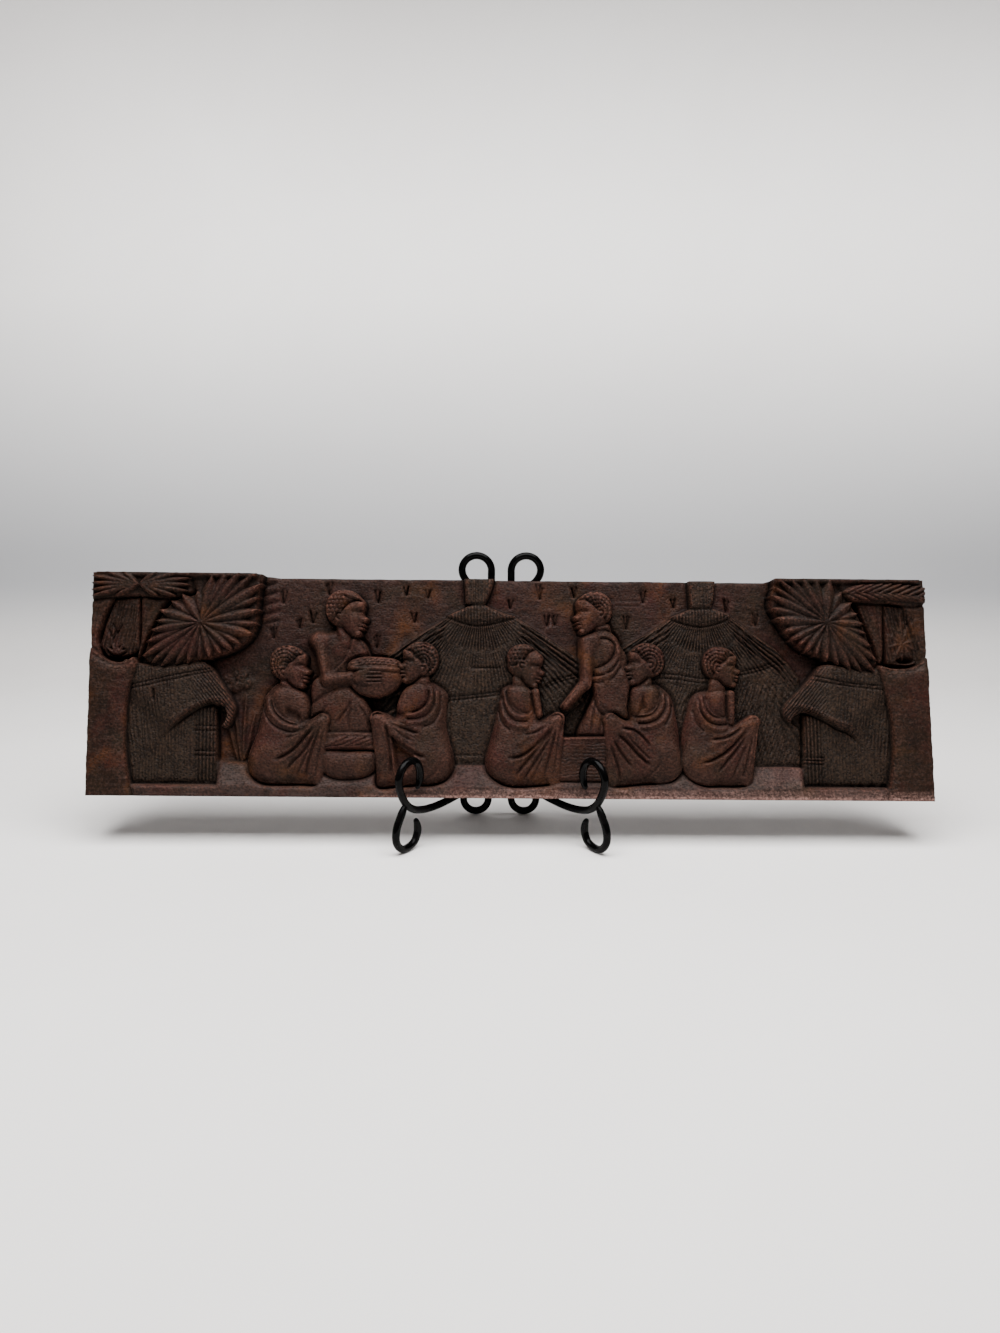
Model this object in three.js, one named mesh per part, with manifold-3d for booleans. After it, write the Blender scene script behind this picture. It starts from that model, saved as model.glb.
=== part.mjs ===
// Carved hardwood relief plaque of a village scene, standing on a black wire scroll easel.
// Millimetres. +Z up, the carved face looks towards -Y, +X is the viewer's right.
import * as THREE from "three";
import { mergeVertices } from "three/addons/utils/BufferGeometryUtils.js";
import Module from "manifold-3d";

// ---- driving dimensions -----------------------------------------------------------------
const BOARD_WIDTH = 610; // 24 inch board
const BOARD_HEIGHT = 161.5;
const BOARD_THICKNESS = 28; // back plane to the highest carving
const FIELD_LEVEL = 12; // sunk field behind the figures, above the back plane
const STRIP_LEVEL = 27; // flat strip left along the bottom edge
const STRIP_HEIGHT = 8;
const TOP_DIP = 1.5; // top edge is this much lower between the two trees
const SIDE_TAPER = 1.6; // each end leans in by this much at the top
const BOARD_LEAN = 17; // degrees back from upright
const BOARD_OFFSET = 8; // board's middle to the right of the easel's middle
const BOARD_FRONT_Y = 14; // bottom front edge, behind the front feet
const BOARD_FRONT_Z = 36.4;

const ROD = 5.2; // rod diameter
const EASEL_HEIGHT = 204;
const EASEL_DEPTH = 82.6; // front feet to rear curls
const FRONT_SPREAD = 69.4; // half the distance between the front feet
const UPRIGHT_HALF_GAP_TOP = 7.4; // upright centre line to the middle
const UPRIGHT_HALF_GAP_LOW = 8.9;
const TOP_CURL_R = 11.4; // centre line radius of the top curls
const LOW_CURL_R = 9.9;
const UPRIGHT_LEAN = 2.5; // degrees back
const ROD_SIDES = 8;
const FLAT = 0.3; // depth of the small flat worn under each foot

const RELIEF_STEP = 1; // sampling of the carved face
const RELIEF_POINTS = 3560; // points kept on the carved face

// ---- small helpers ------------------------------------------------------------------------
const rad = (d) => (d * Math.PI) / 180;
const clamp = (x, a = 0, b = 1) => Math.min(b, Math.max(a, x));
const mix = (a, b, t) => a + (b - a) * t;
const soft = (t) => {
  const s = clamp(t);
  return s * s * (3 - 2 * s);
};

// Smooth curve through a few points, sampled into short chords.
function curve(points, closed = false, per = 6) {
  const c = new THREE.CatmullRomCurve3(
    points.map(([x, y]) => new THREE.Vector3(x, y, 0)),
    closed,
    "centripetal",
  );
  const n = per * (closed ? points.length : points.length - 1);
  const out = c.getPoints(n).map((p) => [p.x, p.y]);
  if (closed) out.pop();
  return out;
}

// ---- the carved face as a height over the board -------------------------------------------
const COLS = Math.round(BOARD_WIDTH / RELIEF_STEP) + 1;
const ROWS = Math.round(BOARD_HEIGHT / RELIEF_STEP) + 1;
const DU = BOARD_WIDTH / (COLS - 1);
const DV = BOARD_HEIGHT / (ROWS - 1);
const relief = new Float32Array(COLS * ROWS).fill(FIELD_LEVEL);

// Visits the samples of a window of the board; u runs along it, v up it.
function carve(u0, u1, v0, v1, shape) {
  const i0 = Math.max(0, Math.floor((u0 + BOARD_WIDTH / 2) / DU));
  const i1 = Math.min(COLS - 1, Math.ceil((u1 + BOARD_WIDTH / 2) / DU));
  const j0 = Math.max(0, Math.floor(v0 / DV));
  const j1 = Math.min(ROWS - 1, Math.ceil(v1 / DV));
  for (let j = j0; j <= j1; j++)
    for (let i = i0; i <= i1; i++) {
      const k = j * COLS + i;
      relief[k] = shape(i * DU - BOARD_WIDTH / 2, j * DV, relief[k]);
    }
}

function span(points, pad) {
  const us = points.map((p) => p[0]);
  const vs = points.map((p) => p[1]);
  return [
    Math.min(...us) - pad,
    Math.max(...us) + pad,
    Math.min(...vs) - pad,
    Math.max(...vs) + pad,
  ];
}

function lineDistance(u, v, line, closed = false) {
  let best = 1e9;
  const n = line.length;
  for (let k = closed ? 0 : 1; k < n; k++) {
    const [ax, ay] = line[(k + n - 1) % n];
    const [bx, by] = line[k];
    const dx = bx - ax;
    const dy = by - ay;
    const t = clamp(((u - ax) * dx + (v - ay) * dy) / (dx * dx + dy * dy + 1e-9));
    const ex = u - ax - t * dx;
    const ey = v - ay - t * dy;
    best = Math.min(best, ex * ex + ey * ey);
  }
  return Math.sqrt(best);
}

function inside(u, v, line) {
  let odd = false;
  for (let k = 0, m = line.length - 1; k < line.length; m = k++) {
    const [ax, ay] = line[k];
    const [bx, by] = line[m];
    if (ay > v !== by > v && u < ((bx - ax) * (v - ay)) / (by - ay) + ax) odd = !odd;
  }
  return odd;
}

// Wall at the outline, then a rounded shoulder up to the crown.
function raised(old, d, top, drop, edge) {
  if (d < -0.8) return old;
  const t = clamp(d / edge);
  const crown = top - drop * (1 - Math.sqrt(1 - (1 - t) * (1 - t)));
  return mix(old, Math.max(old, crown), soft((d + 0.8) / 1.6));
}

const level = (top, u, v) => (typeof top === "function" ? top(u, v) : top);

function pillow(points, top, drop, edge, smooth = true) {
  const line = smooth ? curve(points, true) : points;
  carve(...span(line, 1), (u, v, h) => {
    const d = lineDistance(u, v, line, true) * (inside(u, v, line) ? 1 : -1);
    return raised(h, d, level(top, u, v), drop, edge);
  });
}

// Cuts an area down to a floor, with a soft edge.
function sink(points, floor, edge = 1.5, smooth = true) {
  const line = smooth ? curve(points, true) : points;
  carve(...span(line, 1), (u, v, h) => {
    if (!inside(u, v, line)) return h;
    const d = lineDistance(u, v, line, true);
    return mix(h, Math.min(h, level(floor, u, v)), soft(d / edge));
  });
}

function dome(cu, cv, ru, rv, top, drop, turn = 0) {
  const c = Math.cos(rad(turn));
  const s = Math.sin(rad(turn));
  const r = Math.max(ru, rv) + 1;
  carve(cu - r, cu + r, cv - r, cv + r, (u, v, h) => {
    const a = ((u - cu) * c + (v - cv) * s) / ru;
    const b = (-(u - cu) * s + (v - cv) * c) / rv;
    const q = Math.hypot(a, b);
    const m = Math.min(ru, rv);
    return raised(h, (1 - q) * m, top, drop, m);
  });
}

// Tapered rounded limb from a to b.
function limb(a, b, ra, rb, topA, topB = topA, drop = 4) {
  const r = Math.max(ra, rb) + 1;
  const [u0, u1, v0, v1] = span([a, b], r);
  const dx = b[0] - a[0];
  const dy = b[1] - a[1];
  const len2 = dx * dx + dy * dy;
  carve(u0, u1, v0, v1, (u, v, h) => {
    const t = clamp(((u - a[0]) * dx + (v - a[1]) * dy) / len2);
    const here = mix(ra, rb, t);
    const d = here - Math.hypot(u - a[0] - t * dx, v - a[1] - t * dy);
    return raised(h, d, mix(topA, topB, t), drop, here);
  });
}

function groove(points, width, depth) {
  const line = curve(points);
  carve(...span(line, width), (u, v, h) => {
    const d = lineDistance(u, v, line) / width;
    return d < 1 ? h - depth * (1 - d * d) * (1 - d * d) : h;
  });
}
const ridge = (points, width, rise) => groove(points, width, -rise);

// Lens-shaped leaf from its stalk end, raised along the middle.
function leaf(u0, v0, angle, length, width, top, drop) {
  const c = Math.cos(rad(angle));
  const s = Math.sin(rad(angle));
  const r = length + width;
  carve(
    Math.min(u0, u0 + length * c) - width,
    Math.max(u0, u0 + length * c) + width,
    Math.min(v0, v0 + length * s) - width,
    Math.max(v0, v0 + length * s) + width,
    (u, v, h) => {
      const a = ((u - u0) * c + (v - v0) * s) / length;
      if (a <= 0 || a >= 1 || r <= 0) return h;
      const b = Math.abs(-(u - u0) * s + (v - v0) * c);
      const half = (width / 2) * Math.pow(Math.sin(Math.PI * Math.pow(a, 0.8)), 0.7);
      const d = half - b;
      if (d < 0) return h;
      return Math.max(h, top - drop * Math.pow(b / half, 2));
    },
  );
}

// Round tree crown: a base cushion and a wheel of leaves that reach its outline.
function crown(outline, cu, cv, count, base, top) {
  pillow(outline, base, 2, 4);
  const edge = curve(outline, true);
  for (let k = 0; k < count; k++) {
    const angle = (360 * (k + 0.3)) / count;
    let reach = 6;
    while (
      reach < 90 &&
      inside(cu + reach * Math.cos(rad(angle)), cv + reach * Math.sin(rad(angle)), edge) &&
      cv + reach * Math.sin(rad(angle)) < BOARD_HEIGHT + 3
    )
      reach += 1;
    reach -= 1.5;
    const start = k % 2 ? reach * 0.34 : 1.5;
    const wide = Math.min(10, ((2 * Math.PI * reach) / count) * 0.95);
    leaf(
      cu + start * Math.cos(rad(angle)),
      cv + start * Math.sin(rad(angle)),
      angle,
      reach - start,
      wide,
      top - (k % 2 ? 0.8 : 0),
      3,
    );
  }
}

// Bundle of leaves that spring from one point inside a band.
function spray(cu, cv, angles, lengths, width, top) {
  angles.forEach((a, k) =>
    leaf(cu, cv, a, lengths[k % lengths.length], width, top - 0.5 * (k % 2), 2.4),
  );
}

// Head seen from the side; face is +1 when it looks right and -1 when it looks left.
function head(u, v, face, top, hair = "cap", tilt = 0) {
  const c = Math.cos(rad(tilt * face));
  const s = Math.sin(rad(tilt * face));
  const at = (x, y) => [u + face * x * c + y * s * face, v - x * s * 1 + y * c];
  const bump = (x, y, rx, ry, t, d, turn = 0) => {
    const [a, b] = at(x, y);
    dome(a, b, rx, ry, t, d, face * (turn - tilt));
  };
  pillow(
    [
      [-3, 14], [5, 12.5], [10, 7.5], [11.2, 2.5], [13.6, -2.2], [12, -4.2],
      [12.2, -8], [9.5, -13.5], [4, -14], [-1.5, -11], [-8, -8], [-13, -1], [-11.5, 9],
    ].map(([x, y]) => at(x, y)),
    top, 5.5, 8,
  );
  bump(5.5, -5.5, 5.5, 6.5, top - 0.2, 4.5); // cheek
  bump(11, -2.4, 3, 2.4, top - 1.2, 3, 40); // nose
  bump(10.4, -7.2, 2.5, 1.9, top - 1.9, 2); // lips
  bump(8, -11.5, 3.2, 2.6, top - 1.2, 2.6); // chin
  groove([at(5.2, 1.8), at(8, 2.6), at(10.8, 1.2)], 2.4, 1.3); // eye hollow
  bump(8.4, 1.2, 2, 1.3, top - 1.9, 1.2);
  if (hair === "bun") {
    bump(-9, 3, 9.5, 10.5, top + 0.4, 5);
    bump(-1, 8, 10, 5.5, top + 0.4, 4, 12);
  } else if (hair === "flat") {
    bump(-8, 2.5, 9.5, 7.5, top + 0.5, 4, -12);
    bump(0, 8, 9, 5, top + 0.2, 4);
  } else {
    bump(-6, 4, 8.5, 9.5, top + 0.5, 4);
    bump(-0.5, 8.5, 9, 5, top + 0.4, 4, -8);
  }
  bump(-1.8, -2, 2.5, 4, top + 1, 2); // ear
}

// Seated figure wrapped in cloth. Local x runs from the seat's back to the knee, y up from the ground.
function seated({ u, face, width = 58, bare = "back", headAt, tilt = 0, hair, folds = 5 }) {
  const k = width / 58;
  const g = 9;
  const at = (x, y) => [u + face * x * k, g + y];
  const all = (list) => list.map(([x, y]) => at(x, y));
  // neck, then the wrapped body, full at the seat and knee
  limb(at(25, 66), at(headAt[0] - 2, headAt[1] - 10), 6.5, 5.5, 22, 22, 4);
  pillow(
    all([
      [8, 66], [5, 50], [2, 32], [0, 17], [3, 5], [12, 0], [32, -0.5], [49, 0], [53, 8],
      [56, 36], [58.5, 49], [54, 53], [45, 48], [39, 47], [37.5, 56], [37, 67], [29, 74], [16, 74],
    ]),
    (uu, vv) => mix(26.2, 23.6, soft((vv - 34) / 40)),
    6.5, 9,
  );
  dome(...at(22, 14), 20 * k, 13, 27.4, 3.5); // seat
  limb(at(22, 22), at(52, 46), 10, 6.5, 26.5, 27.2, 4); // thigh up to the knee
  limb(at(53, 46), at(49, 5), 5, 5, 26.6, 25.5, 3); // shin under the cloth
  // bare upper body inside the folded edge of the cloth
  if (bare === "shoulder") {
    dome(...at(30, 59), 14, 15, 27, 5);
    sink(all([[30, 62], [34, 57], [33, 48], [30, 52]]), 22.5, 2);
  } else {
    sink(all([[14, 64], [16, 54], [24, 47], [33, 52], [35, 64], [30, 72], [20, 72]]), 22, 2.5);
    dome(...at(24, 62), 9.5, 11.5, 24.6, 2.6);
    if (bare === "spine") groove(all([[26, 70], [25.5, 50]]), 3, 2.2);
    if (bare === "arm") limb(at(33, 69), at(38.5, 49), 4.6, 4, 25.6, 25.6, 3);
  }
  // two rolled folds below it
  ridge(all([[10, 68], [10, 54], [18, 43], [28, 41.5], [36, 46]]), 3.2, 1.5);
  groove(all([[13.5, 64], [14.5, 54], [21, 46], [29, 44.5], [35, 48]]), 2, 1.2);
  groove(all([[7, 60], [9, 46], [18, 38], [30, 38]]), 2, 1);
  // long fold under the thigh and the fan of folds that falls from the knee
  groove(all([[8, 22], [27, 27], [40, 35], [51, 45]]), 2.4, 2.4);
  for (let n = 0; n < folds; n++) {
    const x = mix(20, 47, n / (folds - 1));
    groove(all([[x, 2 + (folds - 1 - n) * 1.6], [mix(x, 50, 0.45), 20], [51.5, 42]]), 2, 1.5);
  }
  head(...at(headAt[0], headAt[1]), face, 25.2, hair, tilt);
}

// Cone roof of a far hut, with cap, ties and finial.
function farHut(cu, apex, eaves, wall) {
  pillow(eaves, (u, v) => 18.4 - 0.00042 * (u - cu) ** 2, 3, 8, false);
  pillow(
    [[cu - 25, apex - 9], [cu - 12, apex - 2.5], [cu, apex + 0.6], [cu + 12, apex - 2.5], [cu + 25, apex - 9], [cu, apex - 14]],
    19.6, 2, 5,
  );
  pillow([[cu - 8, apex - 3], [cu + 6, apex - 3], [cu + 11, apex + 20], [cu - 11, apex + 20]], 18.8, 2, 3, false);
  groove([[cu - 25, apex - 8.5], [cu - 12, apex - 13], [cu, apex - 15], [cu + 12, apex - 13], [cu + 25, apex - 8.5]], 1.6, 1.4);
  if (wall) groove(wall, 1.6, 1.6);
}

// ---- the village scene --------------------------------------------------------------------
const G = STRIP_LEVEL;
// ground: flat strip, then a bank that falls back to the field
carve(-305, 305, 0, 34, (u, v, h) => {
  const crest = 30 - 4 * soft((Math.abs(u - 10) - 150) / 60);
  const slope = G - 0.52 * Math.max(0, v - STRIP_HEIGHT);
  return v < crest ? Math.max(h, slope) : mix(Math.max(h, slope), h, soft((v - crest) / 3));
});

// far huts
farHut(-19.5, 141, [[-19, 141], [5, 132], [22, 121], [38, 110], [56, 97], [56, 20], [-100, 20], [-92, 101], [-71, 116], [-44, 132]], [[-42, 71], [-8, 76], [20, 79], [50, 91]]);
farHut(141, 141, [[141, 141], [162, 134], [180, 120], [201, 101], [214, 82], [214, 20], [72, 20], [72, 104], [86, 114], [118, 132]], [[104, 93], [141, 88], [166, 93], [201, 102]]);
groove([[-42, 68], [-8, 73], [20, 76], [50, 88]], 1.3, 1.2);
groove([[104, 89.5], [141, 84.5], [166, 89.5], [202, 98.5]], 1.3, 1.2);

// near hut on the left: roof over a wall, rolled eave
const wallA = [[-280, 9], [-211.5, 9], [-212, 66], [-280, 66]];
pillow(wallA, (u) => 20.4 - 0.0012 * Math.max(0, u + 240) ** 2, 3.5, 5, false);
pillow(
  [[-282, 100], [-225, 98], [-214, 91], [-206, 80], [-200, 70], [-200, 63], [-203, 54], [-208, 50], [-210, 60], [-218, 67], [-230, 62], [-244, 51], [-262, 31], [-282, 26]],
  (u, v) => 24 - 0.0009 * (u + 245) ** 2, 3, 6,
);
sink([[-216, 66], [-209, 68], [-205, 62], [-207, 53], [-211, 51]], 17.5, 2);
ridge([[-203, 55], [-200.5, 65], [-207, 71.5], [-218, 69], [-233, 60], [-247, 48], [-259, 35]], 3, 1.5);
groove([[-272, 80], [-240, 86], [-214, 92]], 1.5, 1.3);
groove([[-273, 76], [-240, 82], [-211, 88]], 1.5, 1.3);
for (const y of [50, 46.5, 32, 28.5]) groove([[-225, y], [-212, y]], 1.3, 1.2);

// near hut on the right
pillow([[213, 10], [276, 10], [276, 66], [212.5, 66]], (u) => 20.4 - 0.0012 * Math.min(0, u - 240) ** 2, 3.5, 5, false);
pillow(
  [[276, 100], [230, 100], [220, 92], [210, 81], [200, 69], [199, 65], [202, 58], [208, 54], [211, 62], [219, 67], [232, 60], [245, 52], [258, 38], [276, 22]],
  (u, v) => 24 - 0.0009 * (u - 245) ** 2, 3, 6,
);
sink([[213, 64], [205, 66], [203, 61], [208, 55], [212, 54]], 17.5, 2);
ridge([[203, 57.5], [200.5, 65], [206, 69.5], [216, 69], [231, 61], [244, 53], [256, 40]], 3, 1.5);
groove([[219, 92], [245, 88.5], [270, 85]], 1.5, 1.3);
groove([[216, 88], [245, 84.5], [270, 81]], 1.5, 1.3);
for (const y of [31, 27.5]) groove([[213, y], [228, y]], 1.3, 1.2);

// trees at both ends: fork hollow, branches, bowl rim, trunk
sink([[-300, 103], [-270, 103], [-268, 142], [-290, 142]], 16, 2, false);
pillow([[-305, 145], [-305, 98], [-300, 100], [-296.5, 122], [-286, 143]], 25, 2, 3, false);
pillow([[-269, 96], [-246, 145], [-270, 145]], 22.5, 2, 4, false);
dome(-284, 116, 9, 12, 19, 2);
pillow([[-309, -6], [-273.5, -6], [-275.5, 40], [-275.5, 68], [-272, 100], [-286, 97.5], [-299, 101], [-309, 104]], 26.8, 3.5, 9, false);

sink([[275, 103], [296, 103], [291, 143], [275, 143]], 16, 2, false);
pillow([[305, 145], [305, 98], [299, 101], [295, 122], [286, 143]], 23.5, 2, 3, false);
pillow([[258, 145], [276, 145], [276, 100], [269, 97]], 22.5, 2, 3, false);
dome(286, 117, 10, 12, 19, 2.5);
pillow([[309, -6], [273.5, -6], [276.5, 37], [276, 60], [270, 99], [285, 98], [299, 100], [309, 100]], 26.8, 3.5, 9, false);

// tree crowns and the leaf bands in the corners
pillow([[-304, 168], [-232, 168], [-232, 146], [-250, 144], [-269, 147], [-288, 143], [-309, 142]], 24.6, 4, 4, false);
spray(-269, 152, [166, 180, 194, 14, 0, -12], [36, 38, 34, 34, 38, 36], 8, 27.6);
pillow([[236, 168], [309, 168], [309, 142], [286, 142], [262, 145], [246, 150]], 24.4, 4, 4, false);
for (let n = 0; n < 4; n++) {
  leaf(246 + n * 16, 153 - n * 0.8, 24, 24, 8, 27.2, 2.6);
  leaf(248 + n * 16, 152 - n * 0.8, -18, 24, 8, 27.2, 2.6);
}
pillow([[-184, 168], [-168, 168], [-167, 150], [-171, 138], [-178, 128], [-186, 122]], 17.5, 3, 4);
crown(
  [[-233, 168], [-183, 168], [-183.5, 143], [-185, 125], [-195, 110], [-204, 104.5], [-220, 98.5], [-244, 95.5], [-260, 96], [-266, 102], [-262, 115], [-253, 129], [-243, 142], [-233, 148]],
  -224, 126, 20, 24, 27.8,
);
crown(
  [[202, 168], [240, 168], [247, 152], [254, 137], [260, 124], [267, 108], [268.5, 97], [258, 95], [245, 97.5], [232, 102.5], [218, 107.5], [205, 119], [196, 130], [191, 144], [192, 156]],
  232, 130, 20, 24, 27.6,
);

// low plants on the field
for (const [u, v] of [[-205, 84], [-198, 88], [-201, 79], [-192, 82]]) dome(u, v, 7, 6, 15.5, 2);
for (const a of [68, 80, 96, 108]) leaf(-192, 20, a, 50, 6, 15.5, 2);

// standing woman with the bowl
limb([-124, 112], [-122, 124], 6, 5.5, 21.5, 21.5, 3);
pillow([[-145, 70], [-143, 84], [-134, 92], [-138, 104], [-145, 119], [-136, 122], [-118, 119], [-108, 112], [-104, 96], [-104, 72], [-101, 50], [-146, 50]], 21.6, 4, 8);
dome(-123, 58, 24, 20, 25, 4);
for (const x of [-136, -126, -114]) groove([[x, 50], [mix(x, -122, 0.4), 60], [-116 + (x + 126) * 0.3, 76]], 1.8, 1);
groove([[-112, 110], [-119, 101], [-128, 94]], 1.8, 1);
pillow([[-117, 101], [-97, 104], [-77, 101], [-75, 90], [-80, 79], [-92, 73.5], [-104, 75], [-114, 84]], 27, 5, 9);
ridge([[-116, 99], [-97, 102], [-77, 99]], 3, 0.8);
groove([[-117, 94.5], [-97, 97], [-76, 94]], 1.5, 1);
sink([[-113, 78], [-104, 73], [-92, 71], [-80, 74], [-76, 70], [-82, 62], [-100, 60], [-104, 68]], 13, 2);
limb([-142, 117], [-133, 84], 4.2, 4.8, 24.5, 26.5, 3);
limb([-133, 84], [-109, 89], 5, 4, 26.5, 27, 3);
dome(-102, 88.5, 8.5, 5.5, 28, 2.5);
for (const y of [91, 88.5, 86]) groove([[-101, y], [-94, y - 0.6]], 0.9, 0.9);
pillow([[-134, 49], [-99, 49], [-98, 34], [-134, 34]], 25.6, 2.5, 4, false);
for (let n = 0; n < 4; n++) groove([[-133 + n * 9, 37], [-128 + n * 9, 43], [-120 + n * 9, 46]], 1.6, 1.4);
pillow([[-137, 33], [-97, 33], [-95, 22], [-100, 13.5], [-116, 11], [-132, 13.5], [-138, 22]], 27, 5, 10);
head(-118, 137, 1, 24.8, "bun", 8);

// bench, and the man who bends over it
pillow([[38, 45.5], [72, 45.5], [72, 13], [38, 13]], 25, 2, 2.5, false);
ridge([[39, 44], [71, 44]], 1.6, 0.8);
sink([[46, 78], [60, 88], [62, 62], [56, 47], [46, 47]], 13.5, 2);
limb([74, 112], [68, 124], 7, 6.5, 22, 22, 3);
pillow([[54, 116], [62, 120], [78, 120], [88, 112], [92, 98], [90, 80], [88, 60], [84, 46], [50, 46], [56, 62], [61, 80], [59, 96], [54, 106]], 22.6, 4, 8);
sink([[62, 116], [60, 106], [63, 98], [72, 97], [78, 106], [78, 116]], 20.4, 2);
dome(69, 108, 7, 9, 22.4, 2);
ridge([[80, 116], [77, 102], [64, 94]], 3, 1.2);
ridge([[84, 112], [82, 97], [66, 87]], 3, 1.2);
dome(74, 76, 12, 16, 25, 3.5);
for (const x of [54, 60, 66]) groove([[x, 47], [x + 4, 62], [66, 76]], 1.6, 1.2);
limb([57, 113], [56, 84], 5, 5, 25.5, 26.5, 3);
limb([56, 84], [37, 65], 5, 3.4, 26.5, 27, 3);
head(64, 138, -1, 25, "cap", 6);

// five seated figures
seated({ u: -190, face: 1, width: 59, bare: "shoulder", headAt: [29, 86], hair: "cap", tilt: 4 });
seated({ u: -41, face: -1, width: 59, bare: "plain", headAt: [25, 90], hair: "cap", tilt: 0, folds: 3 });
seated({ u: -19, face: 1, width: 59, bare: "arm", headAt: [33, 89], hair: "flat", tilt: 14 });
seated({ u: 126, face: -1, width: 55, bare: "spine", headAt: [26, 91], hair: "cap", tilt: 2 });
seated({ u: 126, face: 1, width: 54, bare: "arm", headAt: [31, 90], hair: "cap", tilt: 4 });
sink([[-88, 50], [-78, 38], [-68, 30], [-80, 16], [-84, 30]], 19, 3);

// soften the knife edges a little
function blur() {
  const src = Float32Array.from(relief);
  const at = (i, j) => src[clamp(j, 0, ROWS - 1) * COLS + clamp(i, 0, COLS - 1)];
  for (let j = 0; j < ROWS; j++)
    for (let i = 0; i < COLS; i++)
      relief[j * COLS + i] =
        0.4 * at(i, j) +
        0.11 * (at(i - 1, j) + at(i + 1, j) + at(i, j - 1) + at(i, j + 1)) +
        0.04 * (at(i - 1, j - 1) + at(i + 1, j - 1) + at(i - 1, j + 1) + at(i + 1, j + 1));
}
blur();
for (let k = 0; k < relief.length; k++) relief[k] = clamp(relief[k], 8, BOARD_THICKNESS);

// Faces and hands are kept more exactly than leaves.
const HEADS = [[-161, 95], [-118, 137], [-66, 99], [14, 98], [64, 138], [100, 100], [157, 99], [-100, 89]];
function care(u, v) {
  if (HEADS.some(([a, b]) => Math.hypot(u - a, v - b) < 16)) return 1.7;
  return v > 94 && (u < -180 || u > 190) ? 0.8 : 1;
}

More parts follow.
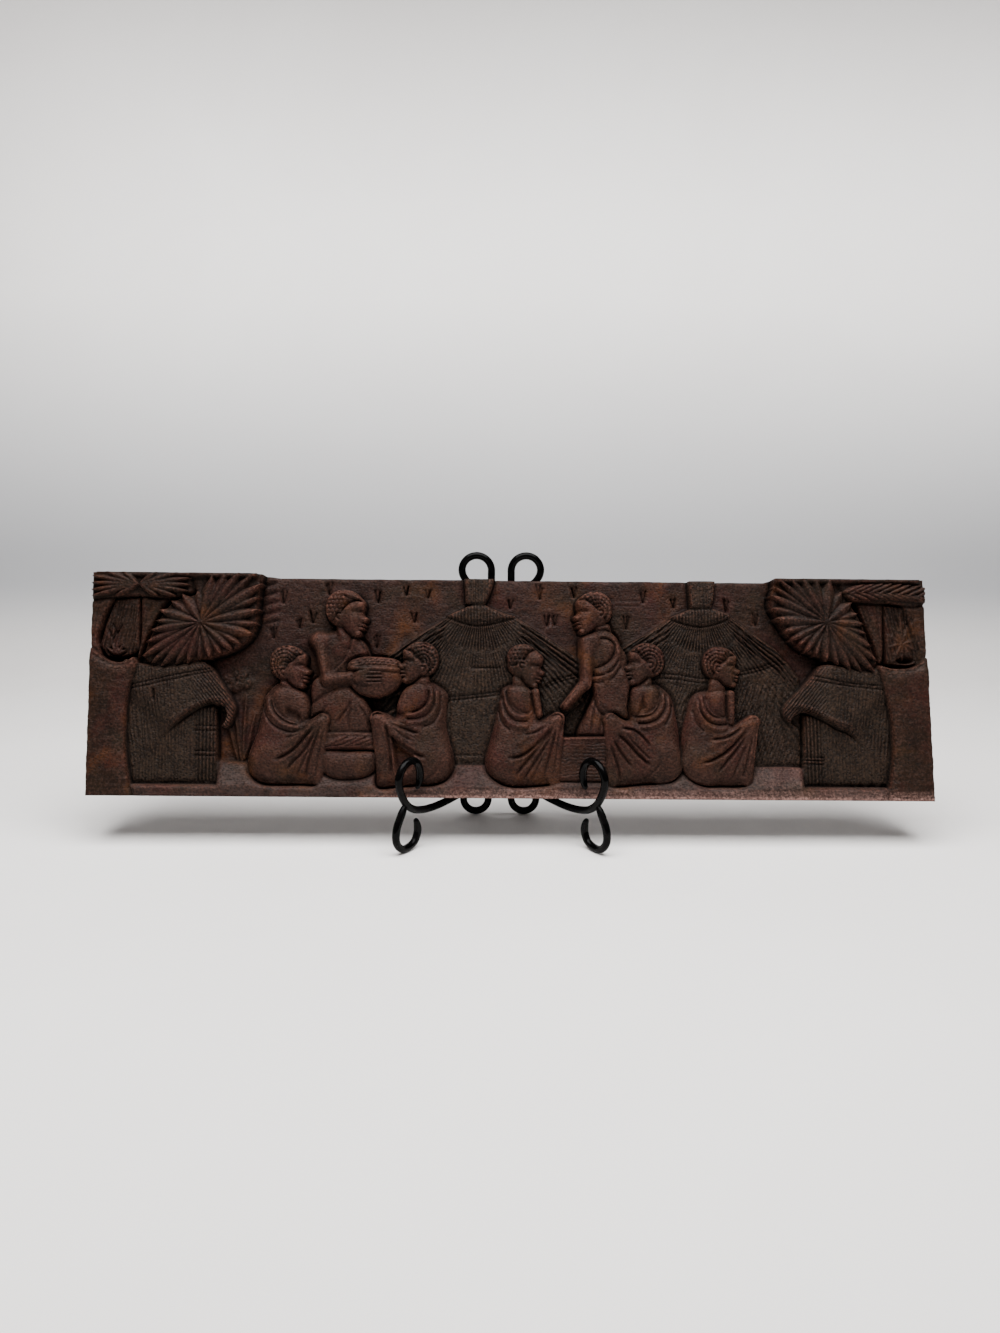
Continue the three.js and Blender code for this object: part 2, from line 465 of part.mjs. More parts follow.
// ---- carved face to triangles: points go in where the surface is furthest off --------------
function carvedSurface(limit) {
  const px = [];
  const py = [];
  const tri = [];
  const twin = [];
  const pick = [];
  const stamp = [];
  const heap = [];
  const fresh = [];
  const z = (p) => relief[py[p] * COLS + px[p]];
  const weight = relief.map((_, k) => care((k % COLS) * DU - BOARD_WIDTH / 2, Math.floor(k / COLS) * DV));
  const turn = (ax, ay, bx, by, cx, cy) => (bx - ax) * (cy - ay) - (by - ay) * (cx - ax);
  const addPoint = (x, y) => px.push(x) && py.push(y) - 1;

  function up(k) {
    while (k > 0) {
      const m = (k - 1) >> 1;
      if (heap[m][0] >= heap[k][0]) break;
      [heap[m], heap[k]] = [heap[k], heap[m]];
      k = m;
    }
  }
  function pop() {
    const first = heap[0];
    const last = heap.pop();
    if (heap.length) {
      heap[0] = last;
      let k = 0;
      for (;;) {
        let m = 2 * k + 1;
        if (m >= heap.length) break;
        if (m + 1 < heap.length && heap[m + 1][0] > heap[m][0]) m++;
        if (heap[k][0] >= heap[m][0]) break;
        [heap[m], heap[k]] = [heap[k], heap[m]];
        k = m;
      }
    }
    return first;
  }

  function addTriangle(a, b, c, ab, bc, ca, e = tri.length) {
    tri[e] = a;
    tri[e + 1] = b;
    tri[e + 2] = c;
    twin[e] = ab;
    twin[e + 1] = bc;
    twin[e + 2] = ca;
    if (ab >= 0) twin[ab] = e;
    if (bc >= 0) twin[bc] = e + 1;
    if (ca >= 0) twin[ca] = e + 2;
    stamp[e / 3] = (stamp[e / 3] || 0) + 1;
    fresh.push(e / 3);
    return e;
  }

  function inCircle(a, b, c, p) {
    const dx = px[a] - px[p];
    const dy = py[a] - py[p];
    const ex = px[b] - px[p];
    const ey = py[b] - py[p];
    const fx = px[c] - px[p];
    const fy = py[c] - py[p];
    const d = dx * dx + dy * dy;
    const e = ex * ex + ey * ey;
    const f = fx * fx + fy * fy;
    return dx * (ey * f - e * fy) - dy * (ex * f - e * fx) + d * (ex * fy - ey * fx) > 0;
  }

  function settle(a) {
    const b = twin[a];
    if (b < 0) return;
    const a0 = a - (a % 3);
    const b0 = b - (b % 3);
    const al = a0 + ((a + 1) % 3);
    const ar = a0 + ((a + 2) % 3);
    const bl = b0 + ((b + 2) % 3);
    const br = b0 + ((b + 1) % 3);
    const p0 = tri[ar];
    const pr = tri[a];
    const pl = tri[al];
    const p1 = tri[bl];
    if (!inCircle(p0, pr, pl, p1)) return;
    const [hal, har, hbl, hbr] = [twin[al], twin[ar], twin[bl], twin[br]];
    const t0 = addTriangle(p0, p1, pl, -1, hbl, hal, a0);
    const t1 = addTriangle(p1, p0, pr, t0, har, hbr, b0);
    settle(t0 + 1);
    settle(t1 + 2);
  }

  function splitEdge(pn, a) {
    const a0 = a - (a % 3);
    const al = a0 + ((a + 1) % 3);
    const ar = a0 + ((a + 2) % 3);
    const p0 = tri[ar];
    const pr = tri[a];
    const pl = tri[al];
    const hal = twin[al];
    const har = twin[ar];
    const b = twin[a];
    if (b < 0) {
      const t0 = addTriangle(pn, p0, pr, -1, har, -1, a0);
      const t1 = addTriangle(p0, pn, pl, t0, -1, hal);
      settle(t0 + 1);
      settle(t1 + 2);
      return;
    }
    const b0 = b - (b % 3);
    const bl = b0 + ((b + 2) % 3);
    const br = b0 + ((b + 1) % 3);
    const p1 = tri[bl];
    const hbl = twin[bl];
    const hbr = twin[br];
    const t0 = addTriangle(p0, pr, pn, har, -1, -1, a0);
    const t1 = addTriangle(pr, p1, pn, hbr, -1, t0 + 1, b0);
    const t2 = addTriangle(p1, pl, pn, hbl, -1, t1 + 1);
    const t3 = addTriangle(pl, p0, pn, hal, t0 + 2, t2 + 1);
    [t0, t1, t2, t3].forEach(settle);
  }

  // Sample of a triangle that lies furthest from its plane.
  function measure(t) {
    const [a, b, c] = [tri[3 * t], tri[3 * t + 1], tri[3 * t + 2]];
    const area = turn(px[a], py[a], px[b], py[b], px[c], py[c]);
    let best = -1;
    let bx = 0;
    let by = 0;
    const x0 = Math.min(px[a], px[b], px[c]);
    const x1 = Math.max(px[a], px[b], px[c]);
    const y0 = Math.min(py[a], py[b], py[c]);
    const y1 = Math.max(py[a], py[b], py[c]);
    for (let y = y0; y <= y1; y++)
      for (let x = x0; x <= x1; x++) {
        const wa = turn(px[b], py[b], px[c], py[c], x, y);
        const wb = turn(px[c], py[c], px[a], py[a], x, y);
        const wc = turn(px[a], py[a], px[b], py[b], x, y);
        if (wa < 0 || wb < 0 || wc < 0) continue;
        const at = y * COLS + x;
        const off = weight[at] * Math.abs((wa * z(a) + wb * z(b) + wc * z(c)) / area - relief[at]);
        const corner = (wa === area || wb === area || wc === area);
        if (off > best && !corner) {
          best = off;
          bx = x;
          by = y;
        }
      }
    pick[t] = [bx, by];
    if (best > 0) {
      heap.push([best, t, stamp[t]]);
      up(heap.length - 1);
    }
  }
  const flush = () => {
    for (const t of new Set(fresh)) measure(t);
    fresh.length = 0;
  };

  const w = COLS - 1;
  const h = ROWS - 1;
  const [q0, q1, q2, q3] = [addPoint(0, 0), addPoint(w, 0), addPoint(w, h), addPoint(0, h)];
  const first = addTriangle(q0, q1, q2, -1, -1, -1);
  addTriangle(q0, q2, q3, first + 2, -1, -1);
  flush();
  while (px.length < limit && heap.length) {
    const [, t, s] = pop();
    if (s !== stamp[t]) continue;
    const [x, y] = pick[t];
    const [a, b, c] = [tri[3 * t], tri[3 * t + 1], tri[3 * t + 2]];
    const pn = addPoint(x, y);
    if (turn(px[a], py[a], px[b], py[b], x, y) === 0) splitEdge(pn, 3 * t);
    else if (turn(px[b], py[b], px[c], py[c], x, y) === 0) splitEdge(pn, 3 * t + 1);
    else if (turn(px[c], py[c], px[a], py[a], x, y) === 0) splitEdge(pn, 3 * t + 2);
    else {
      const [h0, h1, h2] = [twin[3 * t], twin[3 * t + 1], twin[3 * t + 2]];
      const t0 = addTriangle(a, b, pn, h0, -1, -1, 3 * t);
      const t1 = addTriangle(b, c, pn, h1, -1, t0 + 1);
      const t2 = addTriangle(c, a, pn, h2, t0 + 2, t1 + 1);
      [t0, t1, t2].forEach(settle);
    }
    flush();
  }
  return { px, py, tri, twin };
}

// Place of a board point: u along, v up the face, w out from the back plane.
const LEAN = rad(BOARD_LEAN);
function boardPoint(u, v, w) {
  const up = v / BOARD_HEIGHT;
  const dip = TOP_DIP * soft((u + 184) / 16) * soft((196 - u) / 8);
  const x = BOARD_OFFSET + u * (1 - (2 * SIDE_TAPER * up) / BOARD_WIDTH);
  const rise = v - dip * up;
  const back = BOARD_THICKNESS - w;
  return [
    x,
    BOARD_FRONT_Y + rise * Math.sin(LEAN) + back * Math.cos(LEAN),
    BOARD_FRONT_Z + rise * Math.cos(LEAN) - back * Math.sin(LEAN),
  ];
}

function carvedPanel() {
  const { px, py, tri, twin } = carvedSurface(RELIEF_POINTS);
  const points = [];
  const faces = [];
  px.forEach((x, k) =>
    points.push(boardPoint(x * DU - BOARD_WIDTH / 2, py[k] * DV, relief[py[k] * COLS + x])),
  );
  for (let k = 0; k < tri.length; k += 3) faces.push([tri[k], tri[k + 1], tri[k + 2]]);
  const under = new Map();
  const low = (p) => {
    if (!under.has(p)) {
      under.set(p, points.length);
      points.push(boardPoint(px[p] * DU - BOARD_WIDTH / 2, py[p] * DV, 0));
    }
    return under.get(p);
  };
  const middle = points.push(boardPoint(0, BOARD_HEIGHT / 2, 0)) - 1;
  for (let e = 0; e < tri.length; e++)
    if (twin[e] < 0) {
      const a = tri[e];
      const b = tri[e - (e % 3) + ((e + 1) % 3)];
      faces.push([b, a, low(a)], [b, low(a), low(b)], [low(b), low(a), middle]);
    }
  const g = new THREE.BufferGeometry();
  g.setAttribute("position", new THREE.Float32BufferAttribute(points.flat(), 3));
  g.setIndex(faces.flat());
  return g;
}

// ---- easel rods ---------------------------------------------------------------------------
const wasm = await Module();
wasm.setup();

function solid(geometry) {
  const g = geometry.clone();
  g.deleteAttribute("normal");
  g.deleteAttribute("uv");
  const m = mergeVertices(g, 1e-4);
  return new wasm.Manifold(
    new wasm.Mesh({
      numProp: 3,
      vertProperties: new Float32Array(m.attributes.position.array),
      triVerts: new Uint32Array(m.index.array),
    }),
  );
}

function surface(body) {
  const m = body.getMesh();
  const g = new THREE.BufferGeometry();
  g.setAttribute("position", new THREE.BufferAttribute(new Float32Array(m.vertProperties), 3));
  g.setIndex(new THREE.BufferAttribute(new Uint32Array(m.triVerts), 1));
  return g;
}

// Round rod along a path that lies in one plane; `across` is that plane's normal.
function rod(path, across, { radius = ROD / 2, tipStart = false, tipEnd = false } = {}) {
  const points = path.map((p) => new THREE.Vector3(...p));
  const n = points.length;
  const side = new THREE.Vector3(...across).normalize();
  const run = [0];
  for (let k = 1; k < n; k++) run.push(run[k - 1] + points[k].distanceTo(points[k - 1]));
  const coords = [];
  const faces = [];
  for (let k = 0; k < n; k++) {
    const before = points[Math.max(0, k - 1)];
    const after = points[Math.min(n - 1, k + 1)];
    const t = after.clone().sub(before).normalize();
    const up = new THREE.Vector3().crossVectors(side, t).normalize();
    let r = radius * 1.04; // an eight-sided ring with the round rod's area
    if (tipStart) r *= 0.66 + 0.34 * soft(run[k] / 9);
    if (tipEnd) r *= 0.66 + 0.34 * soft((run[n - 1] - run[k]) / 9);
    for (let i = 0; i < ROD_SIDES; i++) {
      const a = (2 * Math.PI * (i + 0.5)) / ROD_SIDES;
      const v = points[k].clone().addScaledVector(up, r * Math.cos(a)).addScaledVector(side, r * Math.sin(a));
      coords.push(v.x, v.y, v.z);
    }
  }
  for (let k = 0; k + 1 < n; k++)
    for (let i = 0; i < ROD_SIDES; i++) {
      const a = k * ROD_SIDES + i;
      const b = k * ROD_SIDES + ((i + 1) % ROD_SIDES);
      faces.push(a, b + ROD_SIDES, b, a, a + ROD_SIDES, b + ROD_SIDES);
    }
  for (let i = 1; i + 1 < ROD_SIDES; i++) {
    const e = (n - 1) * ROD_SIDES;
    faces.push(0, i, i + 1, e, e + i + 1, e + i);
  }
  const g = new THREE.BufferGeometry();
  g.setAttribute("position", new THREE.Float32BufferAttribute(coords, 3));
  g.setIndex(faces);
  const body = solid(g);
  if (body.volume() > 0) return body;
  g.setIndex(faces.flatMap((_, k) => (k % 3 ? [] : [faces[k], faces[k + 2], faces[k + 1]])));
  return solid(g);
}

const floorCut = solid(new THREE.BoxGeometry(400, 400, 20).translate(0, 0, -10));

function arc(cx, cy, r, from, to, steps, shrink = 0) {
  return Array.from({ length: steps + 1 }, (_, k) => {
    const t = k / steps;
    const a = rad(mix(from, to, t));
    const rr = r * (1 - shrink * t * t);
    return [cx + rr * Math.cos(a), cy + rr * Math.sin(a)];
  });
}

const BACK = rad(UPRIGHT_LEAN);
const REACH = EASEL_HEIGHT / Math.cos(BACK);
// Upright: curl at the top, straight down beside its twin, curl under it that stands on the floor.
function uprightPath(sign) {
  const topX = UPRIGHT_HALF_GAP_TOP + TOP_CURL_R;
  const lowX = UPRIGHT_HALF_GAP_LOW + LOW_CURL_R;
  const topY = REACH - TOP_CURL_R - ROD / 2;
  const lowY = 0.975 * LOW_CURL_R + 0.96 * (ROD / 2) - FLAT;
  const top = arc(topX, topY, TOP_CURL_R, 180, -80, 13, 0.12).reverse();
  const low = arc(lowX, lowY, LOW_CURL_R, 180, 440, 13, 0.12);
  return [...top, ...low].map(([x, l]) => [sign * x, EASEL_DEPTH + l * Math.sin(BACK), l * Math.cos(BACK)]);
}

const ARM_X = FRONT_SPREAD - UPRIGHT_HALF_GAP_LOW;
const ARM_RUN = Math.hypot(ARM_X, EASEL_DEPTH);
// Arm: tip of the hook, over and down in front, along under the board to the upright.
const ARM = [
  [15.2, 43.5], [18.6, 50], [18.8, 57], [14.8, 63.8], [7.6, 66.2], [0.2, 63], [-4.2, 55.5],
  [-2.6, 46], [3.5, 35.6], [11.5, 29.6], [21.5, 26.6], [34, 25.2], [47, 25.2], [62, 26.2], [80, 28],
];
const FOOT = [
  [3.4, 36.5], [-3, 27.5], [-7.4, 19], [-7.6, 10], [-2.2, 3.3], [5, 0.96 * (ROD / 2) - FLAT], [12.2, 4.9], [15.8, 12], [15.2, 18], [13.2, 22.5],
];
function along(sign, profile, per, reach = 0) {
  const line = curve(profile, false, per);
  if (reach) line.push([reach, 28.8]);
  const c = ARM_X / ARM_RUN;
  const s = EASEL_DEPTH / ARM_RUN;
  return line.map(([a, z]) => [sign * (FRONT_SPREAD - a * c), a * s, z]);
}
const armPlane = (sign) => [EASEL_DEPTH / ARM_RUN, (sign * ARM_X) / ARM_RUN, 0];

const iron = new THREE.MeshStandardMaterial({ color: 0x14171a, roughness: 0.42, metalness: 0.6 });
const stained = new THREE.MeshStandardMaterial({ color: 0x5b3528, roughness: 0.55, metalness: 0 });

const plaque = new THREE.Group();
plaque.name = "relief_plaque_on_easel";
const add = (name, geometry, material) => {
  const m = new THREE.Mesh(geometry, material);
  m.name = name;
  plaque.add(m);
};

add("carved_panel", carvedPanel(), stained);
for (const [side, sign] of [["left", -1], ["right", 1]]) {
  const tips = { tipStart: true, tipEnd: true };
  const uprightAxis = [0, Math.cos(BACK), -Math.sin(BACK)];
  const upright = rod(uprightPath(sign), uprightAxis, tips);
  const uprightWide = rod(uprightPath(sign), uprightAxis, { radius: ROD / 2 + 0.3 });
  const arm = rod(along(sign, ARM, 2, ARM_RUN), armPlane(sign), { tipStart: true });
  const armWide = rod(along(sign, ARM, 2, ARM_RUN), armPlane(sign), { radius: ROD / 2 + 0.3 });
  const foot = rod(along(sign, FOOT, 2), armPlane(sign), { tipEnd: true });
  const biggest = (body) =>
    body.decompose().reduce((a, b) => (b.volume() > a.volume() ? b : a));
  add(`easel_upright_${side}`, surface(upright.subtract(floorCut)), iron);
  add(`easel_arm_${side}`, surface(biggest(arm.subtract(uprightWide))), iron);
  add(`easel_foot_${side}`, surface(biggest(foot.subtract(armWide).subtract(floorCut))), iron);
}
// short ties that hold the two halves together behind the board
for (const [name, at] of [["easel_tie_lower", 62], ["easel_tie_upper", 150]]) {
  const half = mix(UPRIGHT_HALF_GAP_LOW, UPRIGHT_HALF_GAP_TOP, at / EASEL_HEIGHT) - ROD / 2 - 0.3;
  const bar = new THREE.CylinderGeometry(ROD / 2 - 0.4, ROD / 2 - 0.4, 2 * half, ROD_SIDES);
  bar.rotateZ(Math.PI / 2);
  bar.translate(0, EASEL_DEPTH + at * Math.tan(BACK), at);
  add(name, bar, iron);
}

// origin at the middle of the footprint, on the floor
const box = new THREE.Box3().setFromObject(plaque);
plaque.position.set(-(box.min.x + box.max.x) / 2, -(box.min.y + box.max.y) / 2, -box.min.z);
plaque.updateMatrixWorld(true);

export default plaque;
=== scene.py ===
import math

import bpy
import numpy as np
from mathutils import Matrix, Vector


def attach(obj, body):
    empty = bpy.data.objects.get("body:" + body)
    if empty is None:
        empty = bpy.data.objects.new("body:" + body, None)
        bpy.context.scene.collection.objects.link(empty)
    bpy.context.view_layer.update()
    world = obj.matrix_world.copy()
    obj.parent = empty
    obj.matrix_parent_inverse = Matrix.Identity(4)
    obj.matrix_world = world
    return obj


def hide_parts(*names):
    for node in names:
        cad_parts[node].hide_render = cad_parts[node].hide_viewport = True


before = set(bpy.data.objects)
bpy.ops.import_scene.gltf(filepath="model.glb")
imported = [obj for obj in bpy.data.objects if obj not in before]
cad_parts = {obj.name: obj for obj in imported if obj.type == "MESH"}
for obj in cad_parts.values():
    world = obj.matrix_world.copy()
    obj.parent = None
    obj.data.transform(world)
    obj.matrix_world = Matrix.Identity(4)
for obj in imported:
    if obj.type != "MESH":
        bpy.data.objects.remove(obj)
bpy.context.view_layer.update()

# ==== The plank ==========================================================================
# One plank of close-grained hardwood, 610 long, 161.5 high and 28 thick at its highest.
# The carver drops a field 16 deep behind the figures and leaves a flat strip at the foot.
LONG, TALL, THICK = 610.0, 161.5, 28.0
FIELD, STRIP, STRIP_TALL = 12.0, 27.0, 8.0
BITE = 0.5  # spacing of the chisel's places
dice = np.random.default_rng(24)

columns, lines = int(LONG / BITE) + 1, int(TALL / BITE) + 1
across = np.linspace(-LONG / 2, LONG / 2, columns)
upward = np.linspace(0, TALL, lines)
U, V = np.meshgrid(across, upward)
face = np.full(U.shape, FIELD)
woods = {
    name: np.zeros(U.shape) for name in ("figure", "thatch", "leaf", "trunk", "ground", "hair")
}
comb_turn, comb_deep = np.zeros(U.shape), np.zeros(U.shape)  # which combed line, how deep


def mix(a, b, t):
    return a + (b - a) * t


def soft(t):
    t = np.clip(t, 0, 1)
    return t * t * (3 - 2 * t)


def window(points, reach):
    """The part of the plank that holds these points, with a margin."""
    low, high = np.min(points, axis=0) - reach, np.max(points, axis=0) + reach
    i0 = int(np.clip((low[0] + LONG / 2) / BITE, 0, columns))
    i1 = int(np.clip((high[0] + LONG / 2) / BITE + 2, 0, columns))
    j0 = int(np.clip(low[1] / BITE, 0, lines))
    j1 = int(np.clip(high[1] / BITE + 2, 0, lines))
    return np.s_[j0:j1, i0:i1]


def curve(points, closed=False, per=5):
    """A smooth line through a few points, as short chords."""
    p = np.array(points, float)
    n = len(p)
    if closed:
        p = np.vstack([p[-1], p, p[0], p[1]])
    else:
        p = np.vstack([2 * p[0] - p[1], p, 2 * p[-1] - p[-2]])
    out = []
    for k in range(n if closed else n - 1):
        a, b, c, d = p[k], p[k + 1], p[k + 2], p[k + 3]
        t = [0.0]
        for q, r in ((a, b), (b, c), (c, d)):
            t.append(t[-1] + max(1e-4, math.dist(q, r) ** 0.5))
        for s in np.linspace(t[1], t[2], per, endpoint=False):
            x = (a * (t[1] - s) + b * s) / t[1]
            y = (b * (t[2] - s) + c * (s - t[1])) / (t[2] - t[1])
            z = (c * (t[3] - s) + d * (s - t[2])) / (t[3] - t[2])
            e = (x * (t[2] - s) + y * s) / t[2]
            f = (y * (t[3] - s) + z * (s - t[1])) / (t[3] - t[1])
            out.append((e * (t[2] - s) + f * (s - t[1])) / (t[2] - t[1]))
    if not closed:
        out.append(p[-2])
    return np.array(out)


def off_line(u, v, line, closed=False):
    """Distance to a line, and how far along it the nearest place is."""
    best = np.full(u.shape, 1e9)
    place = np.zeros(u.shape)
    n = len(line)
    for k in range(0 if closed else 1, n):
        a, b = line[k - 1], line[k]
        d = b - a
        t = np.clip(((u - a[0]) * d[0] + (v - a[1]) * d[1]) / (d @ d + 1e-9), 0, 1)
        e = (u - a[0] - t * d[0]) ** 2 + (v - a[1] - t * d[1]) ** 2
        near = e < best
        best = np.where(near, e, best)
        place = np.where(near, (k - 1 + t) / max(1, n - 1), place)
    return np.sqrt(best), place


def within(u, v, line):
    """True at each place that lies inside a closed line."""
    odd = np.zeros(u.shape, bool)
    for k in range(len(line)):
        (ax, ay), (bx, by) = line[k - 1], line[k]
        if ay != by:
            odd ^= ((ay > v) != (by > v)) & (u < (bx - ax) * (v - ay) / (by - ay) + ax)
    return odd


def inside_by(points, reach, smooth=True):
    """Window round an outline, and how far inside it each place lies."""
    line = curve(points, True) if smooth else np.array(points, float)
    win = window(line, reach)
    u, v = U[win], V[win]
    return win, off_line(u, v, line, True)[0] * np.where(within(u, v, line), 1, -1)


def lay(win, d, top, drop, edge, wood=None, over=False, moat=0.0):
    """Wall at the outline, then a rounded shoulder up to the crown; moat cuts round it."""
    wall, moat_wide = 0.6, 2.6
    old = face[win] - moat * soft(1 + d / moat_wide) * (d < 0)
    t = np.clip(d / edge, 0, 1)
    crown = top - drop * (1 - np.sqrt(np.maximum(0, 1 - (1 - t) ** 2)))
    share = soft((d + wall) / (2 * wall))
    face[win] = mix(old, crown if over else np.maximum(old, crown), share)
    covers = share if over else share * soft((crown - old + 0.4) / 0.8)
    comb_deep[win] *= 1 - covers
    if wood:
        for name, grid in woods.items():
            grid[win] = mix(grid[win], 1.0 if name == wood else 0.0, covers)


def pillow(points, top, drop, edge, smooth=True, wood=None, over=False, moat=0.0):
    """Raises an area to a rounded form; top and drop may change from place to place."""
    win, d = inside_by(points, 3, smooth)
    top, drop = (value(U[win], V[win]) if callable(value) else value for value in (top, drop))
    lay(win, d, top, drop, edge, wood, over, moat)


def sink(points, floor, edge):
    """Cuts an area down to a floor, with a soft edge."""
    win, d = inside_by(points, 1)
    low = np.minimum(face[win], floor)
    face[win] = np.where(d > 0, mix(face[win], low, soft(d / edge)), face[win])


def dome(cu, cv, ru, rv, top, drop, turn=0, wood=None, over=False, moat=0.0):
    """A rounded boss with an oval outline, turned by some degrees."""
    c, s = math.cos(math.radians(turn)), math.sin(math.radians(turn))
    r = max(ru, rv)
    win = window([(cu - r, cv - r), (cu + r, cv + r)], 3)
    u, v = U[win] - cu, V[win] - cv
    m = min(ru, rv)
    q = np.hypot((u * c + v * s) / ru, (-u * s + v * c) / rv)
    lay(win, (1 - q) * m, top, drop, m, wood, over, moat)


def limb(a, b, ra, rb, top_a, top_b, drop=4, wood=None, over=False, moat=0.0):
    """Tapered rounded limb from a to b."""
    win = window([a, b], max(ra, rb) + 3)
    u, v = U[win], V[win]
    dx, dy = b[0] - a[0], b[1] - a[1]
    t = np.clip(((u - a[0]) * dx + (v - a[1]) * dy) / (dx * dx + dy * dy), 0, 1)
    here = mix(ra, rb, t)
    d = here - np.hypot(u - a[0] - t * dx, v - a[1] - t * dy)
    lay(win, d, mix(top_a, top_b, t), drop, here, wood, over, moat)


def groove(points, width, depth, smooth=True, fade=0.0):
    """A gouged line; fade lets its ends run out."""
    line = curve(points) if smooth and len(points) > 2 else np.array(points, float)
    win = window(line, width)
    off, place = off_line(U[win], V[win], line)
    d = np.clip(off / width, 0, 1)
    if fade:
        depth = depth * soft(place / fade) * soft((1 - place) / fade)
    face[win] -= depth * (1 - d * d) ** 2


def ridge(points, width, rise, fade=0.0):
    """A raised line, which is a groove turned outwards."""
    groove(points, width, -rise, fade=fade)


def fold(points, width, depth):
    """A cloth fold: a gouged valley with a soft roll along both its sides."""
    roll, fade = 0.5, 0.2
    ridge(points, width * 2.3, depth * roll, fade)
    groove(points, width, depth * (1 + roll), fade=fade)


def blurred(grid, reach_u, reach_v):
    """Running mean over a box this far to each side."""
    for axis, reach in ((0, reach_v), (1, reach_u)):
        n = max(1, int(round(reach / BITE)))
        margins = [(n + 1, n) if a == axis else (0, 0) for a in (0, 1)]
        total = np.cumsum(np.pad(grid, margins, mode="edge"), axis=axis)
        take, drop = [slice(None)] * 2, [slice(None)] * 2
        take[axis], drop[axis] = slice(2 * n + 1, None), slice(0, -2 * n - 1)
        grid = (total[tuple(take)] - total[tuple(drop)]) / (2 * n + 1)
    return grid


def smoothed(grid, reach):
    """Two running means, which come close to a soft round blur."""
    return blurred(blurred(grid, reach, reach), reach, reach)


def uneven(run, rise):
    """Random unevenness, this long and this high in its patches, mostly within one."""
    grid = dice.standard_normal(U.shape)
    for _ in range(2):
        grid = blurred(grid, run / 3, rise / 3)
    return np.clip(grid / grid.std() / 2, -1.2, 1.2)


def ease(points, reach):
    """Blends the cuts inside an outline into each other, as a rasp does."""
    win, d = inside_by(points, 3)
    low, high = (U[win].min(), V[win].min()), (U[win].max(), V[win].max())
    padded = window([low, high], reach * 2)
    whole = np.zeros(face.shape)
    whole[padded] = smoothed(face[padded], reach)
    face[win] = mix(face[win], whole[win], soft((d - 0.6) / 1.2))


# The ground: a flat strip, then a bank that falls back to the field at a wavy crest.
BANK_FALL, CREST_EDGE = 0.52, 3
crest = 28 - 5 * soft((np.abs(U - 10) - 150) / 60) + 1.2 * np.sin(U / 9)
bank = np.maximum(face, STRIP - BANK_FALL * np.maximum(0, V - STRIP_TALL))
past_crest = soft((V - crest) / CREST_EDGE)
face[:] = np.where(V < crest, bank, mix(bank, face, past_crest))
woods["ground"][:] = 1 - past_crest

# ---- The village behind -----------------------------------------------------------------
# Two round huts stand far back, cut low with a veiner: cone roofs of combed thatch, a tied
# cap with a finial, and double bands. Grass and shoots are pricked into the bare field.
TUFTS = [
    (-175, 120), (-146, 133), (-134, 154), (-98, 149), (-77, 153), (-61, 151), (-71, 133),
    (-99, 115), (22, 153), (0, 144), (27, 132), (33, 132), (48, 153), (99, 150), (122, 146),
    (161, 144), (86, 131), (183, 134), (-168, 148), (-156, 128),
]
for u, v in TUFTS:
    tall = 5 + 5 * dice.random()
    for lean in (-1.6 - dice.random(), 1.2 + 1.6 * dice.random(), 4 * dice.random() - 2):
        top_end = (u + lean, v + tall * (0.3 + 0.3 * dice.random()))
        groove([(u + lean * 0.2, v - tall * 0.5), top_end], 1.15, 1.3 + 0.9 * dice.random())
for v in (146.9, 143.2):
    groove([(79, v), (96, v)], 0.9, 0.5)
patchy = uneven(7, 7)  # where the comb bites less
wander = uneven(3, 22)  # how its lines stray


def combed(points, phase, depth, broken, sharp, smooth=False, cut=0.45):
    """Combs an outline with fine gouged lines, one for each whole step of the phase.

    The share called cut is carved in the mesh; the surface shader adds the rest.
    """
    win, d = inside_by(points, 1, smooth)
    line = (0.5 + 0.5 * np.cos(2 * math.pi * phase[win])) ** sharp
    deep = depth[win] if isinstance(depth, np.ndarray) else depth
    deep = deep * (1 - broken * (0.5 + 0.5 * patchy[win])) * soft(d / 1.5)
    face[win] -= cut * deep * line
    if cut < 1:
        old = comb_deep[win]
        comb_turn[win] = np.where(deep > old, phase[win], comb_turn[win])
        comb_deep[win] = np.maximum(old, deep) - 0.8 * np.minimum(old, deep)


def far_hut(cu, peak, eaves, left, right, cap, arc_low, arc_high, finial, bands):
    """Cone roof of a far hut. The combed lines all run out from one point above the cap."""
    roof_top, cap_top, finial_top = 18.2, 19.6, 19.4
    pillow(eaves, lambda u, v: roof_top - 0.0004 * (u - cu) ** 2, 3, 7, False, "thatch", True)
    down = peak + 6 - V
    turn = np.arctan2(U - cu, down)
    steep = soft((np.abs(turn) - 0.35) / 0.35)
    far = np.hypot(U - cu, down)
    near_cap = soft((46 - far) / 8)
    combed(eaves, turn * 17 + wander * 0.12, 1.3 * near_cap, 0.6, 2.6)
    combed(eaves, turn * 24 + wander * 0.12, 1.6 * (1 - near_cap) * mix(0.5, 1, steep), 0.7, 2.4)
    for side in (left, right):
        ridge(side, 1.8, 0.9)
        for step in (3.4, 7.2, 11.4):
            shifted = [(u, v - step * (1 + 0.05 * k)) for k, (u, v) in enumerate(side)]
            groove(shifted, 1.1, 1.4, fade=0.12)
            ridge([(u, v - 1.7) for u, v in shifted], 1.1, 0.6, 0.12)
    pillow(cap, cap_top, 1.8, 4, wood="thatch", over=True)
    combed(cap, (U - cu) * 0.42 + wander * 0.1, 0.8, 0.4, 1.6, True)
    groove(arc_low, 1.5, 1.5)
    groove(arc_high, 1.0, 0.9)
    ridge([(u, v - 2.4) for u, v in arc_low], 1.3, 0.6)
    pillow(finial, finial_top, 2.2, 3, False, "thatch", True, 1.5)
    combed(finial, U / 2.1 + wander * 0.3, 0.5, 0.5, 2)
    for line in bands:
        groove(line, 1.2, 1.2)


